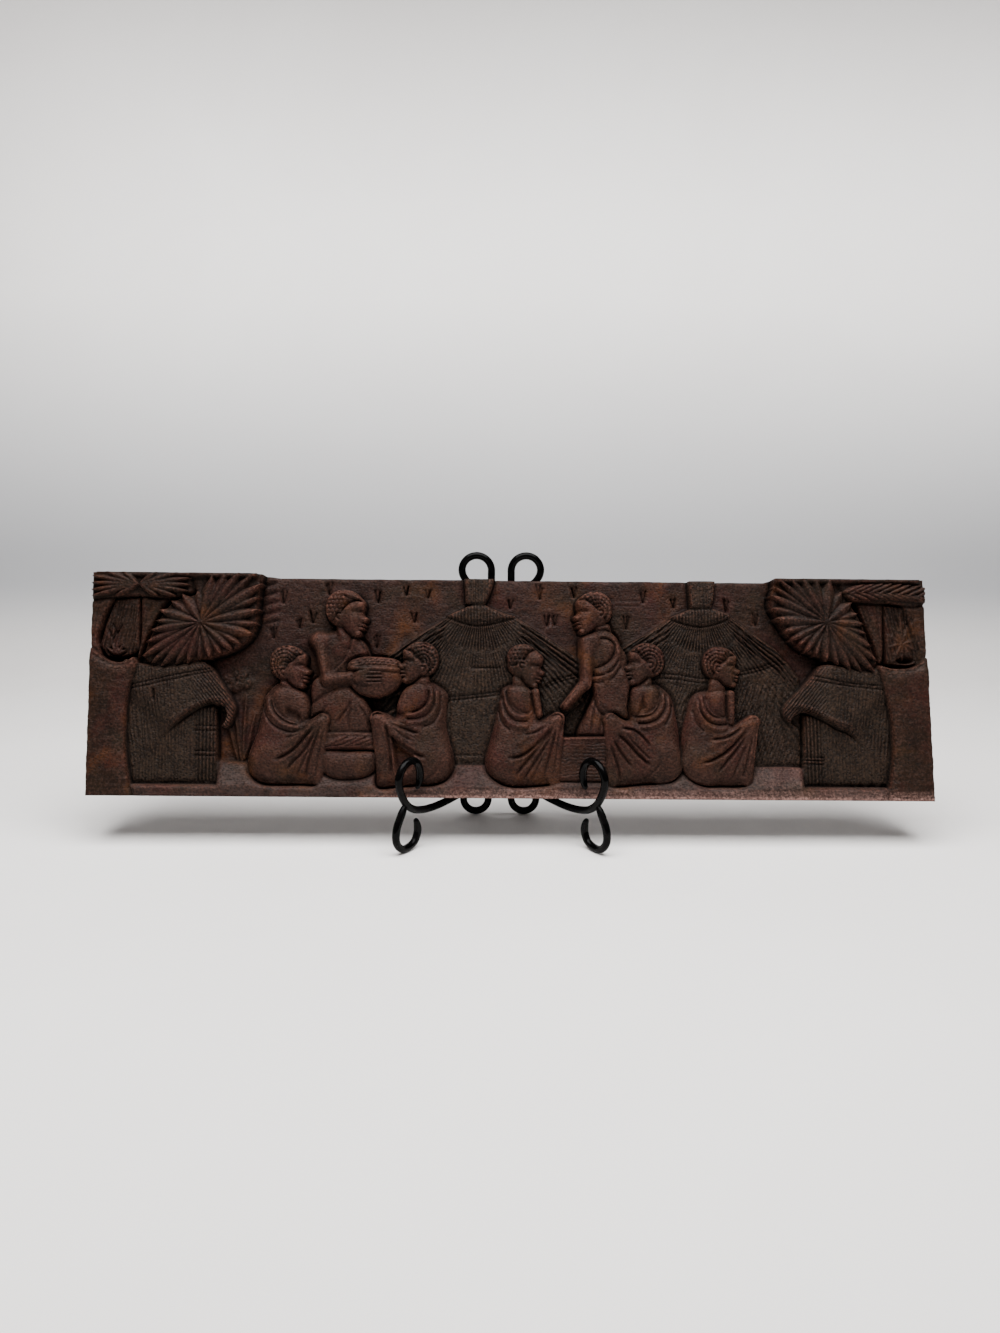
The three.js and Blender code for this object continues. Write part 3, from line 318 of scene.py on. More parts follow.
far_hut(
    -22, 143,
    eaves=[
        (-24, 144), (3, 134), (24, 121), (36, 113), (50, 103), (56, 97), (56, 24), (-100, 24),
        (-92, 102), (-66, 121), (-46, 133),
    ],
    left=[(-46, 132), (-60, 124.5), (-75, 115), (-90, 104)],
    right=[(3, 133), (14, 126.5), (24, 120), (35, 113), (45, 106.5), (52, 101)],
    cap=[
        (-47, 133), (-37, 138.5), (-28, 142.5), (-22, 143.5), (-14, 140), (-5, 136), (4, 133.5),
        (-8, 129), (-25, 126.5), (-38, 129),
    ],
    arc_low=[(-46.5, 133), (-35, 129), (-25.5, 127), (-15, 128), (3, 133)],
    arc_high=[(-37, 131.5), (-25.5, 129.5), (-13, 130.5), (-5, 132)],
    finial=[(-34, 166), (-10, 166), (-14, 152), (-18.5, 142.5), (-33, 142.5)],
    bands=[
        [(-46, 71), (-29, 73), (-10, 75.5), (10, 78), (23, 80), (32, 84.5), (50, 89.5)],
        [(-46, 73.6), (-29, 75.4), (-10, 77.6), (10, 79.6), (23, 81.8), (32, 86.6), (50, 91.8)],
        [(-29, 95.3), (-8, 95.8)],
    ],
)
far_hut(
    141, 143.5,
    eaves=[
        (142, 144), (164, 135), (178, 125), (194, 113), (203, 103), (213, 89), (214, 24), (76, 24),
        (76, 107), (86, 114), (99, 121), (118, 133),
    ],
    left=[(119, 133), (109.5, 127), (99, 121), (86, 113.5)],
    right=[(163, 134), (172, 126.5), (185, 117), (197, 107), (204, 98.5), (212, 89)],
    cap=[
        (118, 133.5), (128, 138.5), (137, 142), (147, 142), (155, 139.5), (164.5, 134.5),
        (152, 129.5), (141, 127), (130, 128.5),
    ],
    arc_low=[(119, 133), (130.5, 129), (141, 127.5), (152, 130), (163, 134.5)],
    arc_high=[(124, 133.5), (131, 131.4), (141, 130), (152, 132.4), (159, 135.4)],
    finial=[(132, 166), (153, 166), (151, 149), (149, 141), (133, 141)],
    bands=[
        [
            (109, 89), (124, 88), (141, 85.5), (155, 88), (168, 91.5), (183, 95), (194, 98.5),
            (204, 99.5),
        ],
        [
            (110, 92.5), (124, 91.4), (141, 89), (155, 91), (168, 94), (183, 97.5), (194, 101),
            (203, 102),
        ],
    ],
)
# walls of the far huts below their bands, hatched with a finer comb
combed(
    [(-46, 69), (-28, 71), (-8, 74), (6, 76), (6, 26), (-46, 26)],
    U / 2.3 + wander * 0.6, 0.8, 0.8, 1.8,
)
combed(
    [(110, 87), (141, 84), (168, 89), (204, 98), (213, 88), (213, 24), (110, 24)],
    (U - 0.42 * V) / 2.7 + wander * 0.4, 1.2, 0.6, 1.6,
)
combed([(24, 80), (48, 88), (52, 60), (24, 50)], (U + 0.5 * V) / 2.6 + wander * 0.3, 1.1, 0.5, 1.6)
groove([(-45, 70), (-44, 31), (-22, 31)], 1.4, 0.9, False)
for k in range(6):
    groove([(176 + 5 * k, 92 - 2 * k), (171 + 5.5 * k, 60), (178 + 5 * k, 26)], 1.1, 0.9, fade=0.1)

# ---- The near huts ----------------------------------------------------------------------
# Each end has a hut cut nearly full height: a thick thatch that rolls over at the eave, a
# wall of split reeds with two ties, and a dark gap left under the roll.
NEAR_WALL_TOP, NEAR_ROOF_TOP = 20.6, 24.6
NEAR_HUTS = {
    -1: {
        "wall": [(-281, 8.5), (-213, 8.5), (-214.5, 66), (-281, 66)],
        "roof": [
            (-282, 98), (-269, 95.5), (-256, 95), (-239, 95.5), (-225, 97.5), (-218, 93),
            (-212, 85), (-207, 77), (-203, 70), (-200.5, 64), (-202, 56), (-206.5, 49),
            (-210.5, 50.5), (-209.5, 57), (-211.5, 63), (-217, 66), (-226, 63), (-235, 57.5),
            (-245, 50), (-254, 40), (-262, 29), (-272, 22), (-282, 20),
        ],
        "lip": [
            (-207, 49.5), (-203, 56), (-202.6, 63), (-206.6, 68.5), (-213, 70.2), (-222, 68),
            (-230, 64.3), (-238, 59), (-245, 53.8), (-251, 48), (-255, 42),
        ],
        "under": [
            (-211, 52), (-209.5, 58), (-212, 64), (-219, 66.4), (-227, 63), (-235, 57.6),
            (-245, 49.6), (-254, 39.6),
        ],
        "gap": [(-214, 66), (-211, 66.5), (-206.5, 62.5), (-207, 54), (-211, 50)],
        "bands": [
            [(-276, 77.5), (-263.5, 79.7), (-255, 82), (-241, 85), (-229, 87.8), (-217, 90)],
            [(-276, 80), (-263.5, 82.6), (-251, 85.6), (-235, 89), (-219, 91.8)],
        ],
        "ties": (51, 47.5, 32.8, 29.4),
        "reeds": (-229, -214),
    },
    1: {
        "wall": [(212, 9.5), (278, 9.5), (278, 62), (214.5, 62)],
        "roof": [
            (278, 95), (254, 96), (241, 98), (232, 99), (226, 97.5), (220, 90), (213, 82),
            (205, 75), (199.5, 69), (197.8, 64.5), (199.5, 59.5), (204, 56.5), (206.5, 60.5),
            (213, 63.5), (221, 61), (230, 56.5), (238, 51.8), (246, 48.5), (255, 40.5), (262, 33),
            (270, 27), (278, 24),
        ],
        "lip": [
            (203.5, 57.5), (199.6, 63), (202.5, 67.6), (208, 68.6), (215, 67.6), (222, 64.6),
            (230, 60.6), (238, 56.4), (246, 53.6), (252, 49), (258, 42), (264, 34),
        ],
        "under": [
            (205, 59.5), (208.5, 63.5), (214, 64), (222, 60.8), (230, 56.6), (238, 52), (246, 48.6),
            (255, 40), (262, 32),
        ],
        "gap": [(214, 62), (211, 62.5), (206.5, 60.5), (205, 56), (210, 52), (213.5, 52)],
        "bands": [
            [(219, 91), (232.5, 88.2), (245, 85.6), (258, 84.4), (271, 83.7)],
            [(220, 87.6), (234, 85.1), (248, 83), (260, 81.8), (272, 80.8)],
        ],
        "ties": (31.2, 29, 26.5),
        "reeds": (213, 227),
    },
}


def near_hut(side, wall, reeds, ties, roof, lip, under, gap, bands):
    """Hut at one end; side is -1 at the left and +1 at the right."""

    def wall_top(u, v):
        return NEAR_WALL_TOP - 0.0012 * np.maximum(0, 240 - side * u) ** 2

    def lifted(u, v):
        """0 low on the wall side, rising to 1 over the rolled thatch."""
        return soft((v - 40 + 0.9 * (250 - side * u)) / 24)

    def roof_top(u, v):
        full = NEAR_ROOF_TOP - 0.0009 * (u - side * 245) ** 2
        return mix(wall_top(u, v) + 0.3, full, lifted(u, v))

    pillow(wall, wall_top, 3.5, 5, False, "thatch", True, 2.5)
    combed(wall, U / 2.3 + wander * 0.25, 0.5, 0.8, 1.8)
    low, high = reeds
    combed([(low, 9), (high, 9), (high, 68), (low, 68)], (U - low) / 2.6, 1.3, 0.3, 1.4)
    for v in ties:
        groove([(low, v), (high, v - 0.4)], 0.9, 1.1)
    for pair in (ties[:2], ties[-2:]):
        v = mix(*pair, 0.5)
        ridge([(low, v), (high, v - 0.4)], 1.0, 0.7)
    pillow(roof, roof_top, lambda u, v: 2.4 * lifted(u, v), 6, True, "thatch", True)
    slope = (V - side * 1.18 * U) / 3.1
    near_trunk = soft(((side * -U) + 246) / 34)
    combed(roof, slope + wander * 0.15, 1.5 * near_trunk, 0.4, 1.5, True)
    combed(roof, (U - side * 0.12 * V) / 2.5 + wander * 0.3, 0.6, 0.9, 1.8, True)
    ridge(lip, 2.4, 1.7, 0.35)
    groove(lip, 0.8, 0.9, fade=0.3)
    groove(under, 1.8, 2.2, fade=0.3)
    sink(gap, 13.5, 1.5)
    for line in bands:
        groove(line, 1.15, 1.25)


for side, hut in NEAR_HUTS.items():
    near_hut(side, **hut)
# a nick in the left roof, and tufts of grass at the foot of the right wall
groove([(-259.3, 77), (-258.9, 73.5), (-258.8, 69.5)], 1.5, 2.4)
for u in (250, 257, 266, 274):
    dome(u, 9 + dice.random(), 5, 1.6, 18, 0.8)
    groove([(u - 4, 11), (u, 8.6), (u + 4, 10.5)], 1.0, 1.6)

# ---- The trees --------------------------------------------------------------------------
# A tree closes each end: a stout trunk cut nearly full height, a cupped fork with a small
# plant in its hollow, a band of long leaves along the top and one round crown of leaves.
bark = uneven(9, 1.8)


def leaf(root, tip, width, top, drop, wood="leaf", belly=0.85):
    """Lens-shaped leaf, full along its middle and cut down at its sides.

    A belly under 1 makes it widest near the root, and over 1 near the tip.
    """
    du, dv = tip[0] - root[0], tip[1] - root[1]
    length = math.hypot(du, dv)
    win = window([root, tip], width)
    u, v = U[win] - root[0], V[win] - root[1]
    a = (u * du + v * dv) / length**2
    b = np.abs(-u * dv + v * du) / length
    bow = np.sin(math.pi * np.clip(a, 1e-4, 1) ** belly).clip(1e-4) ** 0.85
    half = width / 2 * bow
    new = top - drop * np.clip(b / half, 0, 1) ** 1.7 - 0.3 * (2 * np.clip(a, 0, 1) - 1) ** 2
    ok = (a > 0) & (a < 1) & (b < half) & (new > face[win])
    face[win] = np.where(ok, new, face[win])
    comb_deep[win] = np.where(ok, 0, comb_deep[win])
    for name, grid in woods.items():
        grid[win] = np.where(ok, 1.0 if name == wood else 0.0, grid[win])


CROWN_LEAVES, CROWN_BASE = 26, 22.2


def crown(outline, middle, tips, top):
    """Round crown: a cushion, then long leaves from the middle and short ones between."""
    pillow(outline, CROWN_BASE, 2.5, 4, wood="leaf", over=True, moat=2.3)
    cu, cv = middle
    ring = np.array([*tips, tips[0]])
    even = np.linspace(0, len(tips), CROWN_LEAVES, endpoint=False)
    tips = np.stack(
        [np.interp(even, range(len(ring)), ring[:, axis]) for axis in (0, 1)],
        -1
    ).tolist()
    for n, (tu, tv) in enumerate(tips):
        before, after = tips[n - 1], tips[(n + 1) % len(tips)]
        gap = 0.5 * (math.dist((tu, tv), before) + math.dist((tu, tv), after))
        long_one = n % 2 == 0
        start, end = (-0.02, 1.1) if long_one else (0.34, 1.07)
        root = (mix(cu, tu, start), mix(cv, tv, start))
        tip = (mix(cu, tu, end), mix(cv, tv, end))
        share, sunk, belly = (1.02, 0, 1.15) if long_one else (0.84, 1.0, 1.2)
        wide = np.clip(gap, 4.6, 10.5) * share * (0.9 + 0.2 * dice.random())
        leaf(root, tip, wide, top - sunk, 4.2, belly=belly)


ENDS = {
    -1: {
        "hollow": [
            (-288, 144), (-295, 126), (-299.5, 108), (-294, 100.5), (-287, 99.5), (-280, 100.5),
            (-275, 102), (-271, 106), (-271, 144),
        ],
        "outer": [
            (-309, 145), (-289, 144), (-294.5, 133), (-298, 122), (-300.5, 113), (-298, 100),
            (-309, 98),
        ],
        "inner": [
            (-270.5, 146), (-248, 145), (-256.5, 131), (-262.5, 119), (-268.5, 105.5), (-272, 96),
            (-273, 100), (-270.5, 110), (-270, 128),
        ],
        "cup": (-287.5, 104, 9, 4.6),
        "plant": (
            (-287.5, 101.5),
            [(-294.5, 107), (-290.5, 110), (-286.5, 111.5), (-282, 109), (-279.5, 105.5)],
        ),
        "trunk": [
            (-311, -6), (-273, -6), (-275.8, 17), (-277.8, 33), (-278.3, 48), (-278, 64),
            (-276, 77.5), (-274, 85), (-271.5, 95), (-274, 100), (-278.5, 97), (-285, 96.2),
            (-292, 97.5), (-298, 101.5), (-303.5, 105.5), (-311, 108),
        ],
        "rim": [(-304, 105), (-298, 101), (-292, 97.2), (-285, 96), (-278.5, 96.7), (-274, 99.5)],
        "band": [
            (-311, 170), (-231, 170), (-231, 147), (-242, 143.5), (-256.5, 143.4), (-269, 144.5),
            (-280, 143.8), (-297, 142.8), (-311, 141),
        ],
    },
    1: {
        "hollow": [
            (276, 146), (278, 143), (291, 143), (297, 128), (301, 109), (302.5, 101), (295, 98.5),
            (285, 98), (276, 99),
        ],
        "outer": [
            (289, 146), (289.5, 141), (294, 127), (299.5, 110), (299, 98), (309, 100), (309, 146),
        ],
        "inner": [
            (252, 152), (255, 145), (260, 131.5), (265.6, 117), (270, 99), (273, 100), (275, 110),
            (275.5, 130), (276.5, 148),
        ],
        "cup": (290, 102, 8, 3),
        "plant": (
            (288.5, 115),
            [
                (287.5, 137), (281, 128), (278, 121), (277.5, 112), (282, 104), (288, 101.5),
                (295, 104), (299, 109.5), (297.5, 117), (293, 126),
            ],
        ),
        "trunk": [
            (311, -6), (272.5, -6), (274, 15), (276.2, 30), (277, 46), (276.2, 61), (274, 74),
            (271.6, 87), (269, 98.5), (273, 98), (278, 96.6), (285, 96.3), (293, 97), (299, 100),
            (304, 103.5), (311, 106),
        ],
        "rim": [(270, 99), (274, 97), (284, 96.2), (293.5, 97), (299, 100), (304, 103)],
        "band": [
            (240, 170), (311, 170), (311, 143), (304, 143.5), (297, 141.8), (281, 144),
            (266, 144.6), (251, 145.6), (242, 147),
        ],
    },
}
HOLLOW_TOP, BRANCH_TOP, STEM_TOP, TRUNK_TOP, BAND_TOP = 20.8, 23.4, 21.6, 26.9, 23.2
for side, tree in ENDS.items():
    pillow(tree["hollow"], HOLLOW_TOP, 0.8, 4, False, "trunk", True)
    pillow(tree["outer"], BRANCH_TOP, 3.2, 5, True, "trunk", True)
    pillow(tree["inner"], STEM_TOP, 2.6, 5, False, "trunk", True)
    combed(tree["hollow"], (U + side * 0.2 * V) / 2.6 + wander * 0.4, 0.9, 0.8, 1.6)
    middle, tips = tree["plant"]
    cup_u, cup_v, cup_wide, cup_tall = tree["cup"]
    hole = 1 - np.hypot((U - cup_u) / cup_wide, (V - cup_v) / cup_tall)
    face[:] = np.where(hole > 0, np.minimum(face, HOLLOW_TOP - 5.5 * soft(hole * 1.6)), face)
    for n in range(5):
        u, v = middle[0] + side * (9 * dice.random() - 3), middle[1] + 9 + 22 * dice.random()
        groove([(u - 3, v + 5), (u, v - 2), (u + 3.4, v + 4)], 1.0, 0.9, False)
    for tip in tips:
        leaf(middle, tip, 2.8, 21.7, 1.3)
    pillow(tree["trunk"], TRUNK_TOP, 3.8, 9, True, "trunk", True, 1.4)
    ridge(tree["rim"], 1.7, 1.0)
    groove([(u, v - 2.2) for u, v in tree["rim"]], 1.4, 0.5, fade=0.2)
    pillow(tree["band"], BAND_TOP, 2.0, 3, False, "leaf", True, 2.2)
groove([(-270.7, 145), (-270.1, 127), (-270.2, 110), (-272.7, 99)], 0.9, 1.3)
groove([(276.2, 147), (274.8, 130), (273.8, 108)], 0.9, 1.3)
STROKES = [
    ((-252, 141), (-265, 117)), ((-262, 141), (-268, 121)), ((-300, 138), (-304, 112)),
    ((258, 146), (266, 118)), ((262, 146), (268, 121)), ((270, 145), (272, 116)),
    ((294, 139), (303, 108)),
]
for stroke in STROKES:
    groove(stroke, 0.9, 0.8, fade=0.15)
# the long leaves of the band at the left, spread both ways from one knot
knot = (-270.7, 152.6)
BAND_LEAVES = [
    ((-305.5, 158.8), 4.6), ((-305.5, 153.6), 4.6), ((-305.5, 148.4), 4.6), ((-305, 143.8), 4.4),
    ((-297, 162.8), 4.6), ((-284, 163.2), 4.6), ((-288, 143.8), 4.2), ((-233, 157.6), 4.8),
    ((-233, 152.6), 5.2), ((-234, 147.8), 4.8), ((-243, 144), 4.4), ((-241, 162.2), 4.8),
    ((-256, 163.2), 4.6), ((-256, 143.6), 4.0),
]
for tip, wide in BAND_LEAVES:
    leaf(knot, tip, wide * 1.15, 27.8, 3.6, belly=1.0)
# the plaited leaves of the band at the right, laid in pairs like a cord, one pair a step
STEP = 7.0
spine = curve([(241, 151), (261, 152), (277, 151.4), (292, 150.2), (308, 148.6)], per=8)
for n in range(10):
    u = 243 + n * STEP
    v = float(np.interp(u, spine[:, 0], spine[:, 1]))
    leaf((u, v - 0.6), (u + 18, v + 6.6), 4.6, 27.7, 3.4)
    leaf((u - 2.5, v + 0.4), (u + 15, v - 5.8), 4.4, 27.3, 3.4)
# foliage behind the left crown
for n in range(5):
    v = 158 - 7 * n
    ridge([(-187, v - 3), (-178, v + 1), (-171 + n, v + 4)], 2.6, 1.1, 0.4)
    groove([(-186, v - 5.6), (-177, v - 2), (-171 + n, v + 1)], 1.3, 1.0, fade=0.3)
crown(
    [
        (-233.5, 168), (-182, 168), (-183, 153), (-184.3, 143), (-184.8, 132), (-185.5, 124),
        (-188, 117), (-194, 110.5), (-202, 105.5), (-212, 101.5), (-225, 97.8), (-241, 95),
        (-255, 93.8), (-264.5, 96), (-267, 100.5), (-265.5, 108), (-263, 115), (-258.5, 124),
        (-255.5, 130), (-251, 136.5), (-246, 141.5), (-238, 144.5), (-231, 146.5), (-232, 153),
    ],
    (-225.5, 125.3),
    [
        (-186, 134), (-186.5, 125), (-190, 118), (-197.5, 111), (-203, 107), (-210, 103.6),
        (-217, 101), (-224, 99.6), (-231.5, 98.4), (-239, 96.5), (-248, 95.6), (-255.5, 96.6),
        (-263, 98), (-264.5, 107), (-260, 116), (-257.5, 122.5), (-255.5, 128.5), (-251.5, 136),
        (-243, 142), (-235.5, 145), (-225, 147), (-216, 160), (-206, 161), (-197, 161.5),
        (-189, 159), (-184.5, 151), (-185.5, 143),
    ],
    27.9,
)
crown(
    [
        (195, 168), (240, 168), (243, 154), (249, 146), (255, 137.5), (260, 127), (263.5, 116.5),
        (267, 107), (269, 99.5), (264, 94.8), (253, 95.6), (246, 97.4), (236.5, 100.6), (224, 105),
        (211.5, 111), (204.5, 118), (200, 124.5), (194.5, 135), (191, 143.5), (192, 149),
        (194.5, 156),
    ],
    (231.9, 129.7),
    [
        (193.8, 148), (193.2, 140), (196, 133.5), (200.3, 125), (204.3, 118.8), (208.4, 115),
        (212.5, 111.3), (218, 107.8), (224, 105.3), (231, 102.8), (238.4, 100.2), (245.6, 97.8),
        (252.8, 96), (260, 95), (267.5, 99), (263.5, 108), (260, 116.5), (258.5, 124),
        (256.5, 129.5), (253.5, 136), (249.5, 142.5), (244, 149), (238, 158), (228, 160.5),
        (220.7, 161), (212, 160.5), (205.5, 159.5), (199.5, 157.5), (195.5, 153.5),
    ],
    27.8,
)
# a low bush, and blades of tall grass beside the left hut
for u, v, r in ((-207, 85, 5.5), (-199, 88, 6), (-203, 80, 6), (-195, 82, 5)):
    dome(u, v, r, r * 0.85, 14.6, 2.2, wood="leaf")
    for a in range(4):
        angle = a * 1.57 + u
        groove([(u, v), (u + r * math.cos(angle), v + r * math.sin(angle))], 1.1, 0.8, fade=0.3)
BLADES = [
    ((-199, 24), (-209, 62)), ((-197, 24), (-203, 70)), ((-196, 24), (-194, 74)),
    ((-195, 24), (-187, 62)), ((-197, 24), (-190, 40)),
]
for foot, tip in BLADES:
    leaf(foot, tip, 3.0, 14.2, 1.6)

# ---- The people -------------------------------------------------------------------------
# Seven calm figures of one generic make, rounded to the front of the plank. The standing
# pair come first, then the seated five in their wrapped cloths, and the heads last.
FIGURE = "figure"


def flesh(points, top, drop, edge, moat=0.0, smooth=True):
    """Lays a body, a cloth or a vessel over what is behind it, with a cut round it."""
    pillow(points, top, drop, edge, smooth, FIGURE, True, moat)


def head(u, v, way, size, top, hair, ear, tilt):
    """Head from the side: way is +1 when it looks right and -1 when it looks left."""
    c, s = math.cos(math.radians(tilt)), math.sin(math.radians(tilt))

    def at(x, y):
        return (u + way * size * (x * c + y * s), v + size * (y * c - x * s))

    def all_at(points):
        return [at(x, y) for x, y in points]

    def bump(x, y, rx, ry, rise, drop, turn=0):
        dome(*at(x, y), rx * size, ry * size, top + rise, drop, way * (turn - tilt), FIGURE)

    def cut(points, width, depth, fade=0.0):
        groove(all_at(points), width, depth, fade=fade)

    def raised(points, width, rise, fade=0.0):
        ridge(all_at(points), width, rise, fade)

    skull = [
        (-2, 14), (6, 12.4), (10.4, 8), (11.7, 4), (11.2, 1.6), (12.6, -0.6), (14.2, -3),
        (12.5, -4.6), (13.3, -6.2), (12.4, -7.3), (12.9, -8.6), (11.4, -10), (11.4, -12.8),
        (7.6, -14.6), (2.6, -13), (-1.5, -9.8), (-7, -8.5), (-11.6, -5), (-13, 1), (-11.8, 9),
    ]
    flesh(all_at(skull), top, 6.5, 9 * size, 1.6)
    bump(4.6, -4.6, 5.6, 5.4, -0.1, 4.2)
    bump(6.2, 7, 5.4, 4.4, -0.2, 4)
    raised([(5.2, 4.0), (8.4, 4.6), (11.4, 3.4)], 1.5, 0.7, 0.2)
    cut([(4.6, 1.6), (7.8, 2.4), (11.0, 1.5)], 2.2, 1.5)
    bump(8.2, 0.9, 2.1, 1.2, -1.9, 1.2)
    cut([(6.2, 0.9), (8.2, 1.9), (10.2, 0.8)], 0.7, 0.6)
    cut([(6.3, 0.2), (8.2, -0.5), (10.2, 0.2)], 0.8, 0.6)
    bump(12.3, -2.6, 2.5, 1.9, -1.5, 2.8, 30)
    cut([(9.6, -3.2), (9.9, -4.9), (11.4, -5.2)], 1.0, 0.9)
    bump(11.8, -6.3, 2.0, 1.0, -1.5, 1.6)
    bump(11.5, -8.6, 1.9, 1.1, -1.5, 1.6)
    cut([(8.9, -7.6), (11.0, -7.3), (13.0, -7.4)], 0.8, 1.1)
    cut([(9.8, -10.2), (11.6, -10.2)], 1.2, 0.6)
    bump(9.4, -12.2, 2.7, 2.2, -1.0, 2.4)
    cut([(-2.2, -7.5), (1.0, -11.4), (5.4, -14.2)], 1.4, 1.2, fade=0.2)

    line = {
        "bun": [(9.5, 9), (5.5, 8.6), (1.5, 6.5), (-1.5, 3), (-4, -1.5), (-8.5, -6)],
        "cap": [(9.6, 9.4), (5.2, 8), (2.4, 4.2), (-0.6, 2.2), (-3.4, -3.2), (-7.4, -8)],
        "flat": [(4, 13), (0.5, 9.5), (-1, 5), (-3, 1.5), (-6.4, -1.4), (-10, -2.6)],
        "short": [(10.2, 9.6), (5.6, 9.8), (1.5, 7), (-1.5, 3.4), (-5, -1), (-8.6, -7)],
    }[hair]
    rear = [(-12.2, -4), (-13.8, 1), (-12.8, 8.4), (-8, 13.6), (-2, 15.2), (5, 13.8)]
    if hair == "flat":
        rear = [(-13.6, 0.5), (-14.6, 5), (-12, 11), (-6, 14.6), (0, 15)]
    cap = all_at(line + rear)
    pillow(cap, top + 0.5, 4.2, 7 * size, wood="hair", over=True)
    cut(line, 1.0, 0.9)
    cu, cv = at(-3, 1)
    if hair in ("cap", "short"):
        far = np.hypot(U - cu, V - cv)
        combed(cap, far / 2.7 + wander * 0.3, 1.9 if hair == "cap" else 1.3, 0.4, 1.2, True, 1)
        combed(cap, np.arctan2(V - cv, U - cu) * 3.4 + wander * 0.2, 1.3, 0.5, 1.4, True, 1)
    else:
        win, d = inside_by(cap, 1)
        spread = 3.1
        x, y = (U[win] - cu) / spread, (V[win] - cv) / spread
        row = np.round(y)
        knot_u = (x - np.round(x + 0.5 * (row % 2)) + 0.5 * (row % 2)) * spread
        curl = np.clip(1 - (knot_u**2 + ((y - row) * spread) ** 2) / 2.4, 0, 1)
        keep = soft(d / 1.2)
        if hair == "bun":
            keep = keep * soft(((cu + 3.5 * way) - U[win]) * way / 1.5 + 0.5)
        face[win] += (1.6 if hair == "bun" else -1.5) * curl * keep
    if hair == "bun":
        raised([(-3, 13), (2, 11.5), (8, 10.4)], 2.4, 0.9, 0.1)
        cut([(-2.5, 11), (2.5, 9.2), (8.6, 8.6)], 1.0, 0.9)
        cut([(1, 14), (4, 12), (9, 11.6)], 0.9, 0.8, fade=0.2)
    ex, ey = ear
    bump(ex, ey, 2.8, 4.0, 0.1, 2.4, 12)
    raised(
        [
            (ex + 1.4, ey + 3.0), (ex - 1.2, ey + 3.3), (ex - 2.6, ey + 0.4), (ex - 1.6, ey - 2.6),
            (ex + 0.6, ey - 3.9),
        ],
        1.1, 1.0,
    )
    cut(
        [(ex + 1.2, ey + 1.6), (ex - 0.8, ey + 1.4), (ex - 0.8, ey - 1.2), (ex + 0.8, ey - 2)],
        0.9, 1.5,
    )


# the standing woman, who holds a woven bowl over a wrapped skirt, a sash and a low drum
limb((-124, 108), (-122, 124), 7, 6, 21.5, 21.8, 3, FIGURE, True, 2)
flesh(
    [
        (-146, 70), (-145, 84), (-136, 92), (-138, 102), (-146, 114), (-145, 118), (-138, 120),
        (-130, 122), (-122, 121), (-114, 118), (-107, 113), (-103, 104), (-102, 84), (-104, 66),
        (-102, 48), (-140, 48),
    ],
    21.2, 4, 8, 2.5,
)
# her wrapped skirt, with its folds
flesh(
    [
        (-147, 64), (-143, 70), (-134, 75.5), (-126, 79), (-117, 79.5), (-110, 74), (-104, 67),
        (-101, 59), (-101, 45), (-146, 45),
    ],
    lambda u, v: 24.6 - 0.004 * (u + 120) ** 2, 4.5, 8, 1.5,
)
fold([(-145, 67), (-140, 71), (-134, 74)], 1.6, 1.2)
fold([(-128, 52), (-123, 59), (-118, 66), (-116, 72)], 1.7, 1.3)
fold([(-117, 47), (-118, 58), (-116, 66)], 1.5, 0.9)
fold([(-103, 50), (-106, 60), (-112, 68)], 1.6, 1.2)
fold([(-140, 52), (-138, 60), (-133, 68)], 1.6, 0.9)
# the cloth across her breast
dome(-125, 108, 9, 9, 22.4, 2.6, 0, FIGURE)
ridge([(-114, 117), (-117, 108), (-122, 99), (-129, 92)], 2.6, 1.0)
groove([(-116, 116), (-118.6, 107), (-123.5, 98.5), (-130, 92)], 1.3, 1.5)
groove([(-111, 115), (-108, 110), (-104.5, 104)], 1.2, 1.1)
groove([(-126, 119), (-120, 112), (-117, 106)], 1.2, 0.8, fade=0.3)
# the bowl, with its woven rim, over a hollow cut below it
sink(
    [
        (-116, 80), (-104, 75), (-92, 73), (-82, 76), (-78, 71), (-84, 64), (-98, 61), (-104, 66),
        (-108, 72),
    ],
    11.5, 2,
)
flesh(
    [
        (-119, 97), (-114, 101), (-105, 102.8), (-93, 102.6), (-83, 100.5), (-79, 97), (-77.5, 92),
        (-79, 85), (-85, 77.6), (-94, 72.8), (-104, 72.6), (-112, 76), (-116.5, 81), (-119, 89),
    ],
    lambda u, v: 27.2 - 0.003 * (v - 88) ** 2, 6, 10, 3,
)
for k, v in enumerate((101.2, 99.3, 97.4)):
    ridge([(-116.5 + k, v - 1.6), (-106, v), (-93, v), (-80.5, v - 1.6)], 1.0, 1.1)
    for n in range(9):
        u = -114 + 4 * n + 1.5 * k
        groove([(u, v - 1), (u + 1.5, v + 0.6)], 0.7, 1.0, False)
ridge([(-117, 94.4), (-107, 93.4), (-93, 93.6), (-80, 92.6)], 1.5, 1.6)
groove([(-118, 92.2), (-107, 91.2), (-93, 91.4), (-79, 90.4)], 1.3, 0.9)
